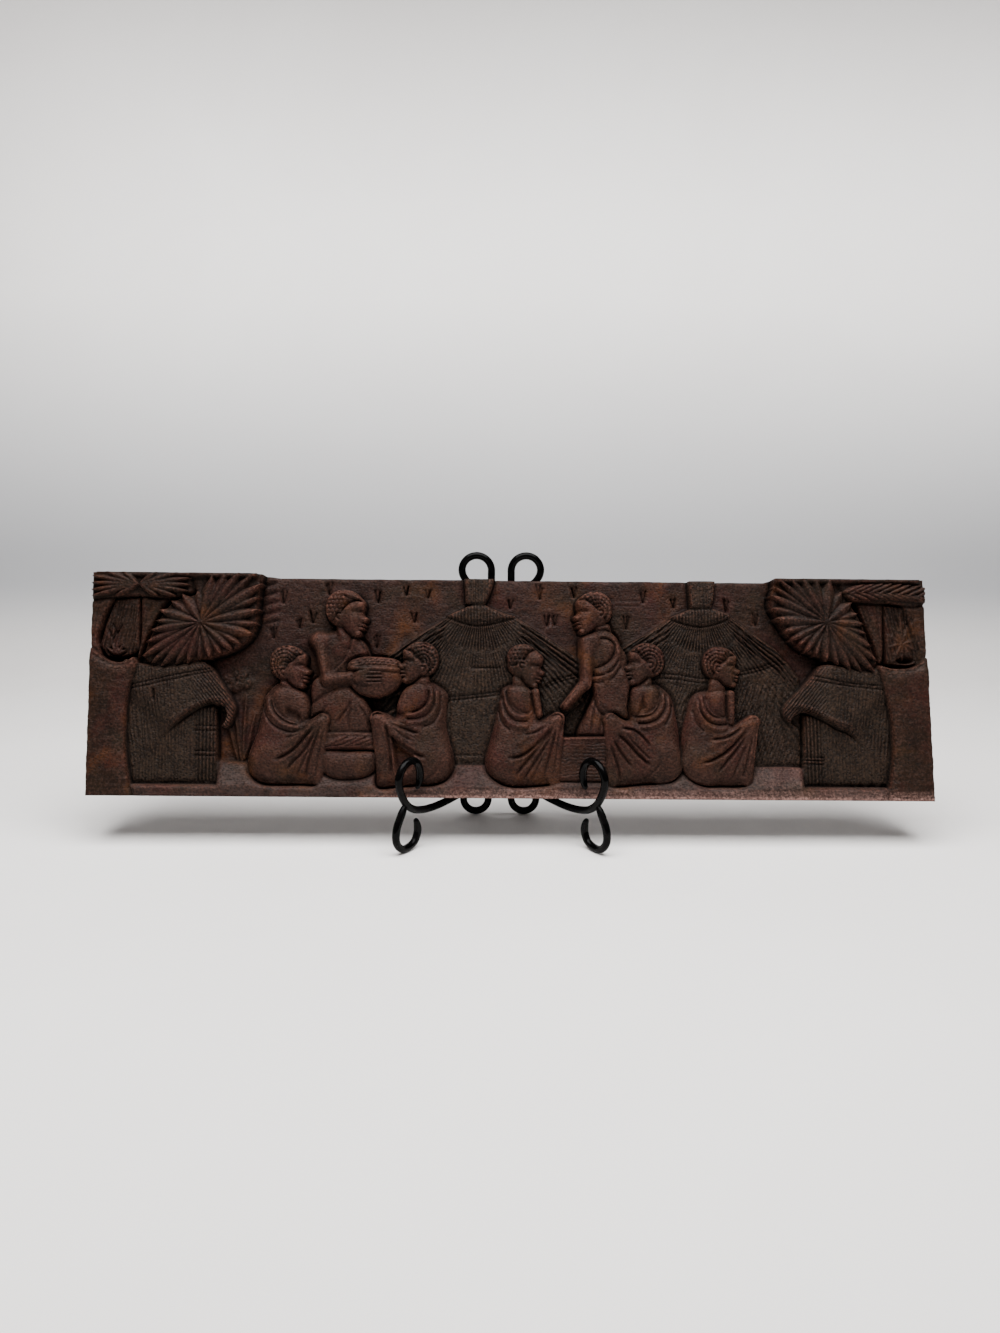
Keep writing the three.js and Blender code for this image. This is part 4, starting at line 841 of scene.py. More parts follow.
# her arm, and the hand that holds the bowl
dome(-139.5, 114, 8, 7.5, 24.6, 3, 0, FIGURE)
limb((-140, 114), (-134, 86), 4.8, 4.2, 25, 26.8, 3.2, FIGURE, True, 1.0)
limb((-134, 85.5), (-114, 88), 4.6, 3.4, 26.8, 27.6, 3.2, FIGURE, True, 1.2)
ease([(-149, 121), (-128, 123), (-128, 92), (-113, 92), (-112, 82), (-136, 79), (-146, 98)], 1.3)
dome(-107.5, 87.2, 7.4, 5.8, 28, 2.2, 0, FIGURE, True, 1.2)
for v in (90.8, 88.2, 85.4, 82.8):
    limb((-104, v - 0.3), (-95, v), 1.5, 1.2, 28, 27.8, 1.2, FIGURE)
for v in (89.5, 86.8, 84.1):
    groove([(-104.5, v - 0.2), (-94, v)], 0.8, 1.2, False)
limb((-110, 90.5), (-103.5, 92.6), 1.7, 1.3, 27.9, 27.9, 1.4, FIGURE)
# the plaited sash, and the drum under it
flesh([(-136, 47), (-99, 47), (-98, 34), (-136, 33)], 25.4, 2.4, 4, 1.2, False)
ridge([(-135, 45.4), (-118, 46.4), (-101, 45.4)], 1.4, 0.9)
ridge([(-136, 35), (-118, 36.8), (-100, 35.6)], 1.4, 0.9)
for n in range(5):
    u = -137 + n * 6.6
    leaf((u, 36.4 + n % 2), (u + 19, 44.8 - n % 2), 4.2, 26.9, 2.0, FIGURE, belly=1.0)
flesh(
    [
        (-137, 32.5), (-118, 33.4), (-98.5, 32.4), (-96.8, 26), (-98.5, 20.5), (-104, 15.6),
        (-118, 12.8), (-131, 14.4), (-137.6, 20.4), (-138.2, 27),
    ],
    27.6, 5.5, 10, 2.4,
)

# the bench, and the man who bends over it
sink([(58, 84), (52, 72), (39, 62), (36, 46), (52, 45), (58, 62)], 11.5, 2)
hatch_area = [(59, 84), (50, 70), (39, 61), (36, 45), (50, 45), (57, 62)]
combed(hatch_area, (U + 0.9 * V) / 2.4 + wander * 0.3, 0.8, 0.5, 2)
combed(hatch_area, (U - 0.7 * V) / 3.0 + wander * 0.3, 0.6, 0.6, 2)
limb((70, 110), (67, 124), 8.5, 7, 22.2, 22.5, 3, FIGURE, True, 2)
flesh(
    [
        (51, 114), (55, 120), (62, 122.5), (70, 123.5), (77, 120), (82, 111), (86.5, 102), (88, 90),
        (88, 60), (84, 45), (48, 45), (54, 62), (60, 76), (59, 96), (53, 106),
    ],
    lambda u, v: 23.2 - 0.0042 * (u - 70) ** 2, 4.5, 8, 3,
)
pillow(
    [(59.6, 90), (61, 76), (64, 62), (70, 57), (84, 58), (88, 72), (88, 92), (76, 98)],
    24.4, 3.4, 8, wood=FIGURE,
)
ease(
    [
        (51, 114), (62, 122.5), (77, 120), (86, 102), (88, 60), (84, 46), (50, 46), (60, 76),
        (58, 96),
    ],
    1.0,
)
# his bare chest inside two rolls of cloth, and the folds below them
sink([(60, 116), (70, 119), (77, 114.5), (76.6, 105.5), (71, 98.5), (60.4, 95)], 20.0, 1.6)
pillow(
    [(60.6, 115), (69.5, 117.6), (75.4, 113.6), (75, 106), (70.4, 100), (61.4, 96.6)],
    23.6, 3, 6, wood=FIGURE,
)
ridge([(78, 113), (77.4, 104), (73, 96.6), (66, 93), (60, 92.4)], 2.4, 1.4)
groove([(78.4, 101), (73, 93.6), (66.4, 90.6), (60, 89.8)], 1.2, 1.4)
ridge([(79.5, 108), (78, 98), (72, 90.6), (60, 87.6)], 2.2, 1.1)
groove([(80, 96), (73, 87.6), (66, 85.4), (60, 85)], 1.3, 1.3)
fold([(59.5, 87), (59.6, 77), (63.6, 64), (69, 60.5), (76, 59)], 1.6, 1.3)
fold([(59, 76), (55, 66), (50, 46)], 1.5, 1.0)
fold([(63, 75.5), (59.6, 62), (57, 45.5)], 1.5, 1.2)
fold([(66, 64), (64.6, 54), (63.4, 45.5)], 1.4, 1.0)
for n in range(26):
    u, v = 65 + 20 * dice.random(), 62 + 34 * dice.random()
    dome(u, v, 2.2, 1.5, 25.0 - dice.random(), 0.9, 20, FIGURE)
# his arm, and the bench it rests on
dome(58, 115, 8, 7.5, 25.2, 3, 0, FIGURE)
limb((55.6, 114), (54.6, 84), 5.3, 4.6, 25.4, 26.6, 3.2, FIGURE, True, 1.0)
limb((54.4, 84.5), (38.5, 67), 4.6, 2.9, 26.6, 27.2, 3.2, FIGURE, True, 1.4)
ease([(50, 122), (62, 122), (61, 90), (42, 62), (35, 66), (48, 84), (48, 104)], 1.3)
flesh([(34.6, 44.8), (70, 45.4), (70, 12.8), (34, 12.8)], 25.4, 1.8, 2.2, 2, False)
ridge([(35.5, 43.6), (69, 44.2)], 1.2, 1.0)
combed([(35, 42), (69, 42), (69, 13), (35, 13)], V / 2.5 + wander * 0.5, 0.55, 0.8, 2)

# the five seated people: outline, bare back, rolled cloth edges, valleys, folds from the knee
SEATED = [
    {
        "outline": [
            (-170, 83), (-176, 77.5), (-180, 71.5), (-181, 64), (-183, 55), (-185, 46), (-188, 38),
            (-190.5, 31), (-191.5, 23), (-190, 16.5), (-186.5, 12), (-180, 8.6), (-168, 7.8),
            (-154, 8), (-141, 8.6), (-139.5, 15), (-138, 26), (-136, 38), (-133.4, 49),
            (-131.8, 55.5), (-133.6, 59.8), (-137.4, 61), (-142.2, 59.4), (-146.4, 57), (-146, 64),
            (-147, 71), (-150.4, 76), (-156.6, 80), (-164, 82),
        ],
        "back": [
            (-173, 73), (-171, 77.4), (-164, 80.4), (-156.5, 79), (-150.3, 75), (-147.2, 68.5),
            (-146.6, 62), (-148.4, 55.6), (-153, 52.8), (-158, 53.8), (-165, 57), (-171, 63),
        ],
        "rolls": [[(-177.6, 73), (-175.6, 63.6), (-170.6, 56.6), (-162.4, 51.6), (-153, 50.2)]],
        "valleys": [
            [(-174.6, 71), (-172.4, 63), (-167.4, 57.3), (-160.7, 53.4), (-154, 52)],
            [(-180.6, 68), (-178.8, 60), (-174, 53.4), (-165, 48.2), (-156, 47), (-147.6, 52)],
        ],
        "thigh": [(-168, 34), (-155, 44.5), (-144, 53), (-136, 57)],
        "folds": [
            ([(-173, 26), (-163.4, 30), (-156, 35.6), (-149.5, 43), (-141, 53)], 2.0, 2.4),
            ([(-164, 42), (-155, 45.5), (-147, 51.4)], 1.5, 1.1),
            ([(-163, 18), (-158, 24.7), (-150.4, 32.4), (-145, 41), (-139.6, 51)], 1.7, 1.6),
            ([(-149, 10.6), (-147, 23.7), (-143, 38), (-137.4, 53)], 1.6, 1.6),
            ([(-142, 10.6), (-140.4, 23.7), (-137.4, 40), (-134.6, 52)], 1.3, 0.9),
            ([(-155.6, 13.8), (-150.3, 25.8), (-145, 36.8)], 1.5, 1.1),
        ],
        "hip": (-171, 27), "knee": (-136.6, 55.6), "foot": (-141, 13),
        "crook": [
            (-163, 66), (-157, 64), (-151.5, 60), (-151, 55.4), (-156, 53.4), (-162, 56),
            (-165, 61),
        ],
        "neck": ((-162, 76), (-162.5, 88)),
        "head": (-161.3, 94.4, 1, 1.07, 25.4, "cap", (-4, -3.4), 4),
    },
    {
        "outline": [
            (-84.6, 58.6), (-84, 66), (-81.6, 73.6), (-78, 80.4), (-72.4, 83.8), (-66.8, 85.4),
            (-59, 85), (-51.2, 81), (-46.2, 75.8), (-46.6, 65.7), (-47.2, 53.6), (-45, 41.6),
            (-41.9, 30.7), (-41.8, 20.8), (-46.8, 12.8), (-55.8, 8.7), (-68, 8), (-82, 7),
            (-97.8, 7), (-98.4, 20.6), (-99, 33.7), (-101, 45.7), (-102.4, 55.6), (-101.7, 60.4),
            (-98, 62.6), (-90, 61.2),
        ],
        "back": [
            (-83, 62.4), (-81, 74), (-75.6, 80.8), (-66, 84), (-60.6, 80), (-60.6, 70), (-66, 63.6),
            (-74.5, 60.4),
        ],
        "rolls": [
            [(-58.2, 82.4), (-58.2, 72), (-63.6, 63.8), (-70.2, 61), (-77.5, 59.6)],
            [(-54.2, 79.4), (-54.8, 66), (-60.4, 57.6), (-66.8, 54.8), (-77, 55)],
        ],
        "valleys": [
            [(-60.2, 79), (-60.4, 71), (-65.4, 64.6), (-73, 61.4)],
            [(-56.4, 80), (-56.4, 68), (-61.6, 60.4), (-68, 57.8), (-77, 57)],
            [(-51.6, 76), (-52, 64), (-57, 54.6), (-64.6, 51.4)],
        ],
        "thigh": [(-64, 44), (-71, 51), (-79, 55.6), (-88, 59), (-97, 60.6)],
        "folds": [
            ([(-92, 56), (-81, 51), (-73, 48.2), (-66, 46.6)], 1.5, 1.5),
            ([(-90.4, 46), (-81, 39), (-69, 31.4), (-62, 29)], 2.0, 2.0),
            ([(-92, 55), (-89.4, 45), (-87.4, 29.4), (-87, 14)], 1.9, 2.2),
            ([(-86, 52), (-80, 45.6), (-72, 41)], 1.3, 0.9),
            ([(-66, 12), (-56, 18), (-50, 30)], 1.4, 0.6),
        ],
        "hip": (-61, 27), "knee": (-97.4, 57.4), "foot": (-92.6, 13),
        "gap": [(-88, 47), (-80, 38.6), (-70, 31), (-72, 22), (-82, 14), (-86, 26)],
        "neck": ((-65, 78), (-65.6, 90)),
        "head": (-67.1, 98.2, -1, 1.05, 25.4, "cap", (-3.4, -4), 0),
    },
    {
        "outline": [
            (-2, 83), (-7, 79.6), (-8.6, 72), (-10.7, 62.5), (-12.9, 53.2), (-15, 44.9),
            (-17.7, 35.6), (-19.8, 26.3), (-17.8, 17.6), (-11, 11.4), (-2.6, 8), (12, 7.8),
            (28.8, 10.4), (32.1, 15), (34.3, 28.6), (36.6, 43), (38.4, 55.5), (37.4, 60.8),
            (33.4, 63), (28, 61.2), (22.8, 58.6), (22.4, 66), (20.8, 75.4), (17, 81), (10.6, 83.6),
            (4.4, 84),
        ],
        "back": [
            (-3.2, 77), (-1.8, 80.8), (6.4, 82.8), (12.6, 81), (15.6, 76), (16, 68), (13.4, 62),
            (7.3, 61.8), (1.2, 65.8), (-2.3, 71),
        ],
        "rolls": [
            [(-5.4, 80.4), (-5, 71.9), (-2, 64.2), (4, 59.8), (12.6, 59.8)],
            [(-8.2, 72), (-6, 60.5), (0.6, 53.2), (12.6, 52)],
        ],
        "valleys": [
            [(-3.6, 79), (-2.8, 71), (1, 65.2), (7, 61.4), (13.4, 61.4)],
            [(-6.8, 76), (-3.8, 63.4), (2, 56.8), (12.6, 56)],
            [(-9.4, 64), (-6.6, 54.6), (-0.6, 49.4)],
        ],
        "arm": ((17.6, 78), (20.2, 61), 2.9),
        "thigh": [(2, 36), (12.4, 47), (21.7, 55), (32, 59.6)],
        "folds": [
            ([(-5.3, 29), (6, 30.6), (15.3, 36.8), (23.6, 45), (30.6, 53.6)], 2.0, 2.2),
            ([(0.7, 14.6), (6.9, 22.3), (16.3, 33.7), (25.7, 45), (31, 52.3)], 1.8, 1.7),
            ([(6, 11), (14, 22.4), (21.5, 33.7), (28.4, 46.6)], 1.6, 1.4),
            ([(22, 13.2), (26.5, 28.6), (30.3, 43), (32.5, 52.3)], 1.5, 1.2),
            ([(29, 14), (31.2, 27.6), (33.4, 43), (34.8, 53)], 1.3, 0.9),
            ([(8, 46), (16.5, 48), (25, 52.6)], 1.4, 1.2),
            ([(13, 11), (19, 24), (26, 38)], 1.3, 0.8),
        ],
        "hip": (0, 27), "knee": (33.6, 57.8), "foot": (30.4, 13),
        "neck": ((7, 77), (7, 88)),
        "head": (10.6, 97, 1, 1.03, 25.4, "flat", (-3, -0.5), 14),
    },
    {
        "outline": [
            (87.8, 83), (86, 75.6), (84.5, 66), (85.4, 58.6), (80.6, 59.4), (75.6, 62.4),
            (69.8, 62.2), (67.8, 57.8), (68.7, 46), (68.9, 30.8), (68.9, 10.6), (74.7, 8.4),
            (91.2, 9.6), (107.7, 11.3), (116.4, 13), (122.4, 18.5), (124, 29), (122.9, 41.4),
            (121.7, 54), (119.9, 65.4), (118, 73.8), (114, 79.2), (106.4, 84.4), (97, 85.4),
        ],
        "back": [
            (88.6, 81.5), (97, 83.6), (105, 82.6), (108, 77.6), (106.8, 69.4), (101.6, 63.2),
            (94.4, 61.6), (88.4, 61.2),
        ],
        "rolls": [
            [(110.9, 78.4), (110.4, 69.2), (105, 61.4), (97.4, 58), (91, 57.6)],
            [(114.6, 76), (114.8, 66), (109.2, 57), (100.4, 53), (91, 52.6)],
        ],
        "valleys": [
            [(108.6, 78.4), (107.8, 69.6), (102.4, 62.2), (95, 60), (89, 60)],
            [(112.6, 76.6), (112.4, 67.4), (107, 59.2), (99, 55.6), (91, 55.2)],
            [(117.2, 70), (115.6, 61), (111, 53.4)],
        ],
        "thigh": [(104, 35), (96, 46), (87.8, 52.2), (78.6, 56.6), (71, 59.8)],
        "folds": [
            ([(78, 51.6), (88, 50.4), (95, 45.2), (101, 37)], 1.7, 1.9),
            ([(75, 48.4), (83.5, 41.2), (91.5, 32), (102, 22.6)], 1.9, 2.2),
            ([(73, 44.3), (79.2, 32.9), (87.2, 22.7)], 1.7, 1.7),
            ([(71, 41), (74, 31), (77, 20.6), (77.8, 12)], 1.5, 1.5),
            ([(82.5, 46.4), (93.7, 35), (101, 27.8)], 1.4, 1.0),
            ([(92, 13), (99, 18), (108, 26)], 1.4, 0.7),
        ],
        "hip": (107, 28), "knee": (71.6, 57.6), "foot": (72.6, 13),
        "crook": [(96, 79), (92.6, 70), (92.2, 61.6), (99.4, 65.6), (98, 72)],
        "neck": ((96.5, 78), (97.4, 90)),
        "head": (98.1, 98.6, -1, 1.05, 25.6, "cap", (-4, -0.5), 2),
    },
    {
        "outline": [
            (143.6, 80.4), (135, 78.2), (130.5, 72.8), (127.6, 62.2), (124.8, 51.8), (123.3, 41.4),
            (123.2, 31), (124.5, 20.4), (129.2, 14), (137.5, 9.8), (151, 8.8), (171, 11),
            (173.6, 21), (176.1, 33.3), (178.2, 46.8), (179.2, 56.2), (176.8, 60.8), (172.2, 59.8),
            (165.9, 56.8), (163.8, 54.6), (163.8, 66.4), (164.6, 76), (159.6, 80.6), (151, 82.6),
        ],
        "back": [
            (142, 75.6), (144.8, 78.8), (152, 80.8), (156.8, 77.8), (156.8, 68.5), (156, 60.4),
            (149.4, 60.9), (144, 65.4),
        ],
        "rolls": [
            [(138.6, 77), (138.9, 67.3), (143.8, 59.8), (150.2, 57.8), (157, 58)],
            [(135.6, 73), (136.8, 61.8), (142.4, 53.8), (150, 51.2), (157.4, 51.6)],
        ],
        "valleys": [
            [(141, 76), (142, 66.4), (147.4, 60.6), (156, 59.8)],
            [(137, 74), (138, 64), (143.4, 56.8), (150.4, 54.6), (157.6, 55)],
            [(132.4, 66), (134.4, 56), (140, 49.4)],
        ],
        "arm": ((160.2, 77.4), (159.8, 57), 2.9),
        "thigh": [(140, 36), (152, 44), (165, 53), (175, 57.6)],
        "folds": [
            ([(135, 26), (145.2, 29), (155.7, 35.3), (164.3, 43.6), (173, 54)], 2.0, 2.3),
            ([(148, 18.8), (155.5, 28), (164, 38.4), (172, 50)], 1.8, 1.8),
            ([(166.4, 13.8), (171, 31.3), (175.4, 50)], 1.5, 1.3),
            ([(143.5, 43.5), (156, 45.6), (169, 54)], 1.7, 1.8),
            ([(158, 13), (164, 27), (171, 42)], 1.5, 1.1),
        ],
        "hip": (141, 27), "knee": (175.4, 56.8), "foot": (169.6, 14.6),
        "neck": ((150, 76), (151.4, 88)),
        "head": (153.7, 97.1, 1, 1.0, 25.4, "cap", (-2.7, -1.6), 4),
    },
]
for one in SEATED:
    outline = one["outline"]
    flesh(outline, lambda u, v: mix(26.0, 23.8, soft((v - 34) / 44)), 9.5, 13, 1.6)
    dome(*one["hip"], 18, 17, 27.7, 4.5, wood=FIGURE)
    limb(one["hip"], one["knee"], 11, 5.4, 26.4, 27.8, 4.5, FIGURE)
    limb(one["knee"], one["foot"], 5.0, 4.8, 27.8, 26.0, 3.5, FIGURE)
    dome(*one["knee"], 5.4, 5.0, 28, 2.6, wood=FIGURE)
    limb(*one["neck"], 6.6, 5.8, 23.6, 23.4, 3, FIGURE)
    ease(outline, 1.8)
    sink(one["back"], 20.4, 1.8)
    pillow(one["back"], 25.2, 4.6, 8, wood=FIGURE)
    if "crook" in one:
        sink(one["crook"], 21.6, 3.5)
    if "arm" in one:
        start, end, thick = one["arm"]
        limb(start, end, thick, thick * 0.9, 26.0, 26.0, 3.0, FIGURE)
        groove(
            [(start[0] - thick - 0.4, start[1] - 2), (end[0] - thick - 0.6, end[1] + 1)],
            1.3, 1.6,
        )
    for line in one["rolls"]:
        ridge(line, 2.2, 1.5, 0.04)
    for line in one["valleys"]:
        groove(line, 1.2, 1.6, fade=0.06)
    ridge(one["thigh"], 3.2, 0.9, 0.15)
    if "gap" in one:
        sink(one["gap"], 20.0, 4)
    for line, wide, deep in one["folds"]:
        fold(line, wide, deep)
for one in SEATED:
    head(*one["head"])
limb((-122, 112), (-122, 124), 5, 5, 23, 22.6, 3, FIGURE)
head(-120.2, 134.6, 1, 1.15, 25.2, "bun", (-4.6, -2.4), 8)
head(60.9, 136.5, -1, 1.06, 25.4, "short", (-5.4, -0.5), 6)

# ---- Tool marks, the dressed edges and the back -----------------------------------------
# The knife leaves small flats all over, longest along the grain. The ends and the top are
# sawn, the foot is rubbed pale, and the back is a plain sawn plane with eased corners.
marks = {
    "figure": 0.10 * uneven(5, 3) + 0.16 * uneven(14, 10),
    "thatch": 0.20 * uneven(1.8, 1.8) + 0.12 * uneven(1.5, 6),
    "leaf": 0.12 * uneven(3, 2),
    "trunk": 0.26 * bark + 0.35 * uneven(22, 16),
    "ground": 0.22 * uneven(6, 2) + 0.2 * uneven(16, 8),
    "hair": 0.12 * uneven(1.6, 1.6),
}
bare = np.clip(1 - sum(woods.values()), 0, 1)
face += bare * (0.26 * uneven(7, 2.4) + 0.4 * uneven(26, 18))
for name, mark in marks.items():
    face += woods[name] * mark
face += (V < STRIP_TALL + 3) * (0.16 * uneven(24, 1.2))
rail = woods["leaf"] * soft((V - 157.6) / 2.4) * (np.abs(U) > 185) * (np.abs(U) < 302)
face = np.maximum(face, mix(face, 26.4, rail))
EASED, THINNEST = 1.6, 8  # width of the rubbed outer edge; least thickness left anywhere
edge_off = np.minimum(np.minimum(U + LONG / 2, LONG / 2 - U), np.minimum(V, TALL - V))
face -= (0.9 + 0.4 * uneven(9, 9)) * np.clip(1 - edge_off / EASED, 0, 1) ** 2
np.clip(face, THINNEST, THICK, out=face)

LEAN = math.radians(17)
FEET_AHEAD = 42.37  # from the easel's front feet back to the middle of the whole footprint
HEEL = Vector((0.0, 14 - FEET_AHEAD, 36.4))  # bottom front edge of the board
TOP_DIP, END_TAPER, TOP_SHIFT = 1.5, 1.6, 1.9
SETTLED, TIPPED = 0.25, 0.0047  # how far it sinks onto the arms, and its tip to one end


def stood_up(u, v, w):
    """Place in the scene of a place on the board: u along, v up, w out from the back."""
    rise_share = v / TALL
    dip = TOP_DIP * soft((u + 184) / 16) * soft((196 - u) / 8) * rise_share
    rise, back = v - dip - SETTLED - TIPPED * u, THICK - w
    x = u * (1 - 2 * END_TAPER * rise_share / LONG) - TOP_SHIFT * rise_share
    y = HEEL.y + rise * math.sin(LEAN) + back * math.cos(LEAN)
    z = HEEL.z + rise * math.cos(LEAN) - back * math.sin(LEAN)
    return np.stack([x, y, z], -1) * 0.001


def sheet_mesh(grid):
    """The carved face as a sheet, still lying flat in the board's own millimetres."""
    n = grid.size
    verts = np.stack([U.ravel(), V.ravel(), grid.ravel()], -1)
    index = np.arange(n).reshape(grid.shape)
    a, b, c, d = index[:-1, :-1], index[:-1, 1:], index[1:, 1:], index[1:, :-1]
    flat = np.abs(grid[:-1, :-1] - grid[1:, 1:]) <= np.abs(grid[:-1, 1:] - grid[1:, :-1])
    first = np.where(flat[..., None], np.stack([a, b, c], -1), np.stack([a, b, d], -1))
    second = np.where(flat[..., None], np.stack([a, c, d], -1), np.stack([b, c, d], -1))
    tris = np.concatenate([first.reshape(-1, 3), second.reshape(-1, 3)])
    mesh = bpy.data.meshes.new("carved_board")
    mesh.vertices.add(n)
    mesh.vertices.foreach_set("co", verts.astype(np.float32).ravel())
    mesh.loops.add(tris.size)
    mesh.loops.foreach_set("vertex_index", tris.astype(np.int32).ravel())
    mesh.polygons.add(len(tris))
    mesh.polygons.foreach_set("loop_start", np.arange(0, tris.size, 3, dtype=np.int32))
    mesh.update(calc_edges=True)
    return mesh


FACE_TRIANGLES = 186000
board = bpy.data.objects.new("carved_board", sheet_mesh(face))
bpy.context.scene.collection.objects.link(board)
pare = board.modifiers.new("pare", "DECIMATE")
pare.ratio = FACE_TRIANGLES / (2 * (columns - 1) * (lines - 1))
graph = bpy.context.evaluated_depsgraph_get()
pared = bpy.data.meshes.new_from_object(board.evaluated_get(graph))
board.modifiers.clear()


def read(items, key, per, kind=np.float32):
    """One property of every vertex, corner or face, as rows of this many numbers."""
    values = np.zeros(len(items) * per, kind)
    items.foreach_get(key, values)
    return values.reshape(-1, per)


def places_of(mesh):
    return read(mesh.vertices, "co", 3).astype(float)


def close_board(sheet):
    """Turns the pared sheet into a solid plank: rim walls, eased corners and a back."""
    co = places_of(sheet)
    tris = read(sheet.loops, "vertex_index", 1, np.int32).reshape(-1, 3)
    edges = np.concatenate([tris[:, [0, 1]], tris[:, [1, 2]], tris[:, [2, 0]]])
    key = set(map(tuple, edges.tolist()))
    rim = {a: b for a, b in key if (b, a) not in key}
    loop = [min(rim)]
    while rim[loop[-1]] != loop[0]:
        loop.append(rim[loop[-1]])
    verts, faces = co.tolist(), tris.tolist()
    previous, corner = loop, 1.2
    for w, inset in ((corner, 0.0), (0.0, corner)):
        ring = [len(verts) + k for k in range(len(loop))]
        for i in loop:
            u = np.clip(co[i][0], -LONG / 2 + inset, LONG / 2 - inset)
            verts.append([u, float(np.clip(co[i][1], inset, TALL - inset)), w])
        for k in range(len(loop)):
            a, b = previous[k], previous[(k + 1) % len(loop)]
            c, d = ring[k], ring[(k + 1) % len(loop)]
            faces += [[b, a, c], [b, c, d]]
        previous = ring
    middle = len(verts)
    verts.append([0.0, TALL / 2, 0.0])
    faces += [[previous[(k + 1) % len(loop)], previous[k], middle] for k in range(len(loop))]
    solid = bpy.data.meshes.new("carved_board")
    solid.from_pydata(verts, [], faces)
    return solid, len(tris)


solid, face_count = close_board(pared)
co = places_of(solid)


def sampled(grid, u, v):
    """Value of a grid at places between its points."""
    x = np.clip((u + LONG / 2) / BITE, 0, columns - 1.001)
    y = np.clip(v / BITE, 0, lines - 1.001)
    i, j = x.astype(int), y.astype(int)
    s, t = x - i, y - j
    low = mix(grid[j, i], grid[j, i + 1], s)
    high = mix(grid[j + 1, i], grid[j + 1, i + 1], s)
    return mix(low, high, t)


def held(depth, full):
    return np.clip(depth / full, 0, 1)


# painted shade: hollows, broad and fine, are darkened where shade falls in them, on top of the
# stain that gathers there
hollow_stain_and_shade = 0.55 * held(smoothed(face, 3) - face, 6)
hollow_stain_and_shade += 0.7 * held(blurred(face, 1, 1) - face, 1.3)
# painted highlight: raised places, fine ridges and the broad tops of forms, are made paler, on top
# of real rubbing there
wear_and_highlight = 0.4 * held(face - smoothed(face, 1.2), 1.2)
wear_and_highlight += 0.65 * held(face - smoothed(face, 7), 6) ** 1.5
foot_edge = 0.9 * soft((2.6 - V) / 1.6) * soft((U + 130) / 60)
foot_edge += 0.3 * soft((STRIP_TALL - V) / 3) * soft((U + 90) / 90)
foot_edge += 0.09 * woods["ground"] * soft((U - 170) / 14) * soft((214 - U) / 5) * soft(V / 12)
masks = dict(
    woods,
    hollow=np.clip(hollow_stain_and_shade, 0, 1),
    wear_and_highlight=np.clip(wear_and_highlight, 0, 1),
    rubbed=foot_edge,
    comb_turn=comb_turn,
    comb_deep=comb_deep,
)
for name, grid in masks.items():
    values = sampled(grid, co[:, 0], co[:, 1])
    attribute = solid.attributes.new(name, "FLOAT", "POINT")
    attribute.data.foreach_set("value", values.astype(np.float32))

# the shading follows the full carving, not the pared triangles
worked = blurred(face, 0.4, 0.4)
slope_v, slope_u = np.gradient(worked, BITE)
u, v, w = co.T
tilt = np.stack([-sampled(slope_u, u, v), -sampled(slope_v, u, v), np.ones(len(co))], -1)
tilt /= np.linalg.norm(tilt, axis=1)[:, None]
to_end, to_top, to_front = tilt.T
sin, cos = math.sin(LEAN), math.cos(LEAN)
leaned = np.stack([to_end, to_top * sin - to_front * cos, to_top * cos + to_front * sin], -1)
placed = stood_up(u, v, w)
solid.vertices.foreach_set("co", placed.astype(np.float32).ravel())
solid.update()
corners = read(solid.loops, "vertex_index", 1, np.int32)[:, 0]
normals = np.repeat(read(solid.polygons, "normal", 3), 3, axis=0)
normals[: face_count * 3] = leaned[corners[: face_count * 3]]
solid.polygons.foreach_set("use_smooth", np.ones(len(solid.polygons), bool))
solid.normals_split_custom_set(normals.tolist())
is_sawn = np.arange(len(solid.polygons)) >= face_count
solid.polygons.foreach_set("material_index", is_sawn.astype(np.int32))
solid.update()
board.data = solid


# The surface of the wood: the carved face is stained and waxed; the hollows are darker with stain
# and with painted shade, and raised places are paler with rubbing and with a painted highlight;
# the back and the sawn edges carry a thin stain only.
def colour_of(*levels):
    """A colour from its 0 to 255 levels, as the renderer counts light."""
    shares = [level / 255 for level in levels]
    return (*(c / 12.92 if c <= 0.04045 else ((c + 0.055) / 1.055) ** 2.4 for c in shares), 1)


def put(tree, kind, links=None, **settings):
    """Adds a node. links go into its sockets: a plain value, or another node's output."""
    node = tree.nodes.new(kind)
    for key, value in settings.items():
        setattr(node, key, value)
    for key, value in (links or {}).items():
        socket = node.inputs[key]
        if isinstance(value, bpy.types.NodeSocket):
            tree.links.new(value, socket)
        else:
            socket.default_value = value
    return node


def shift(tree, factor, a, b):
    """Mixes two colours; either may be a socket or a plain colour."""
    mixed = put(tree, "ShaderNodeMix", {"Factor": factor, "A": a, "B": b}, data_type="RGBA")
    return mixed.outputs["Result"]


def sum_of(tree, kind, a, b, clamp=False):
    return put(tree, "ShaderNodeMath", {0: a, 1: b}, operation=kind, use_clamp=clamp).outputs[0]


def scaled(tree, value, factor, extra):
    """value times factor, plus extra."""
    sockets = {0: value, 1: factor, 2: extra}
    return put(tree, "ShaderNodeMath", sockets, operation="MULTIPLY_ADD").outputs[0]


def ramp(tree, value, start=0.0, full=1.0, low=0.0, high=1.0, smooth=False):
    """Goes from low to high as the value goes from start to full."""
    kind = "SMOOTHSTEP" if smooth else "LINEAR"
    sockets = {"Value": value, "From Min": start, "From Max": full, "To Min": low, "To Max": high}
    return put(tree, "ShaderNodeMapRange", sockets, interpolation_type=kind).outputs[0]


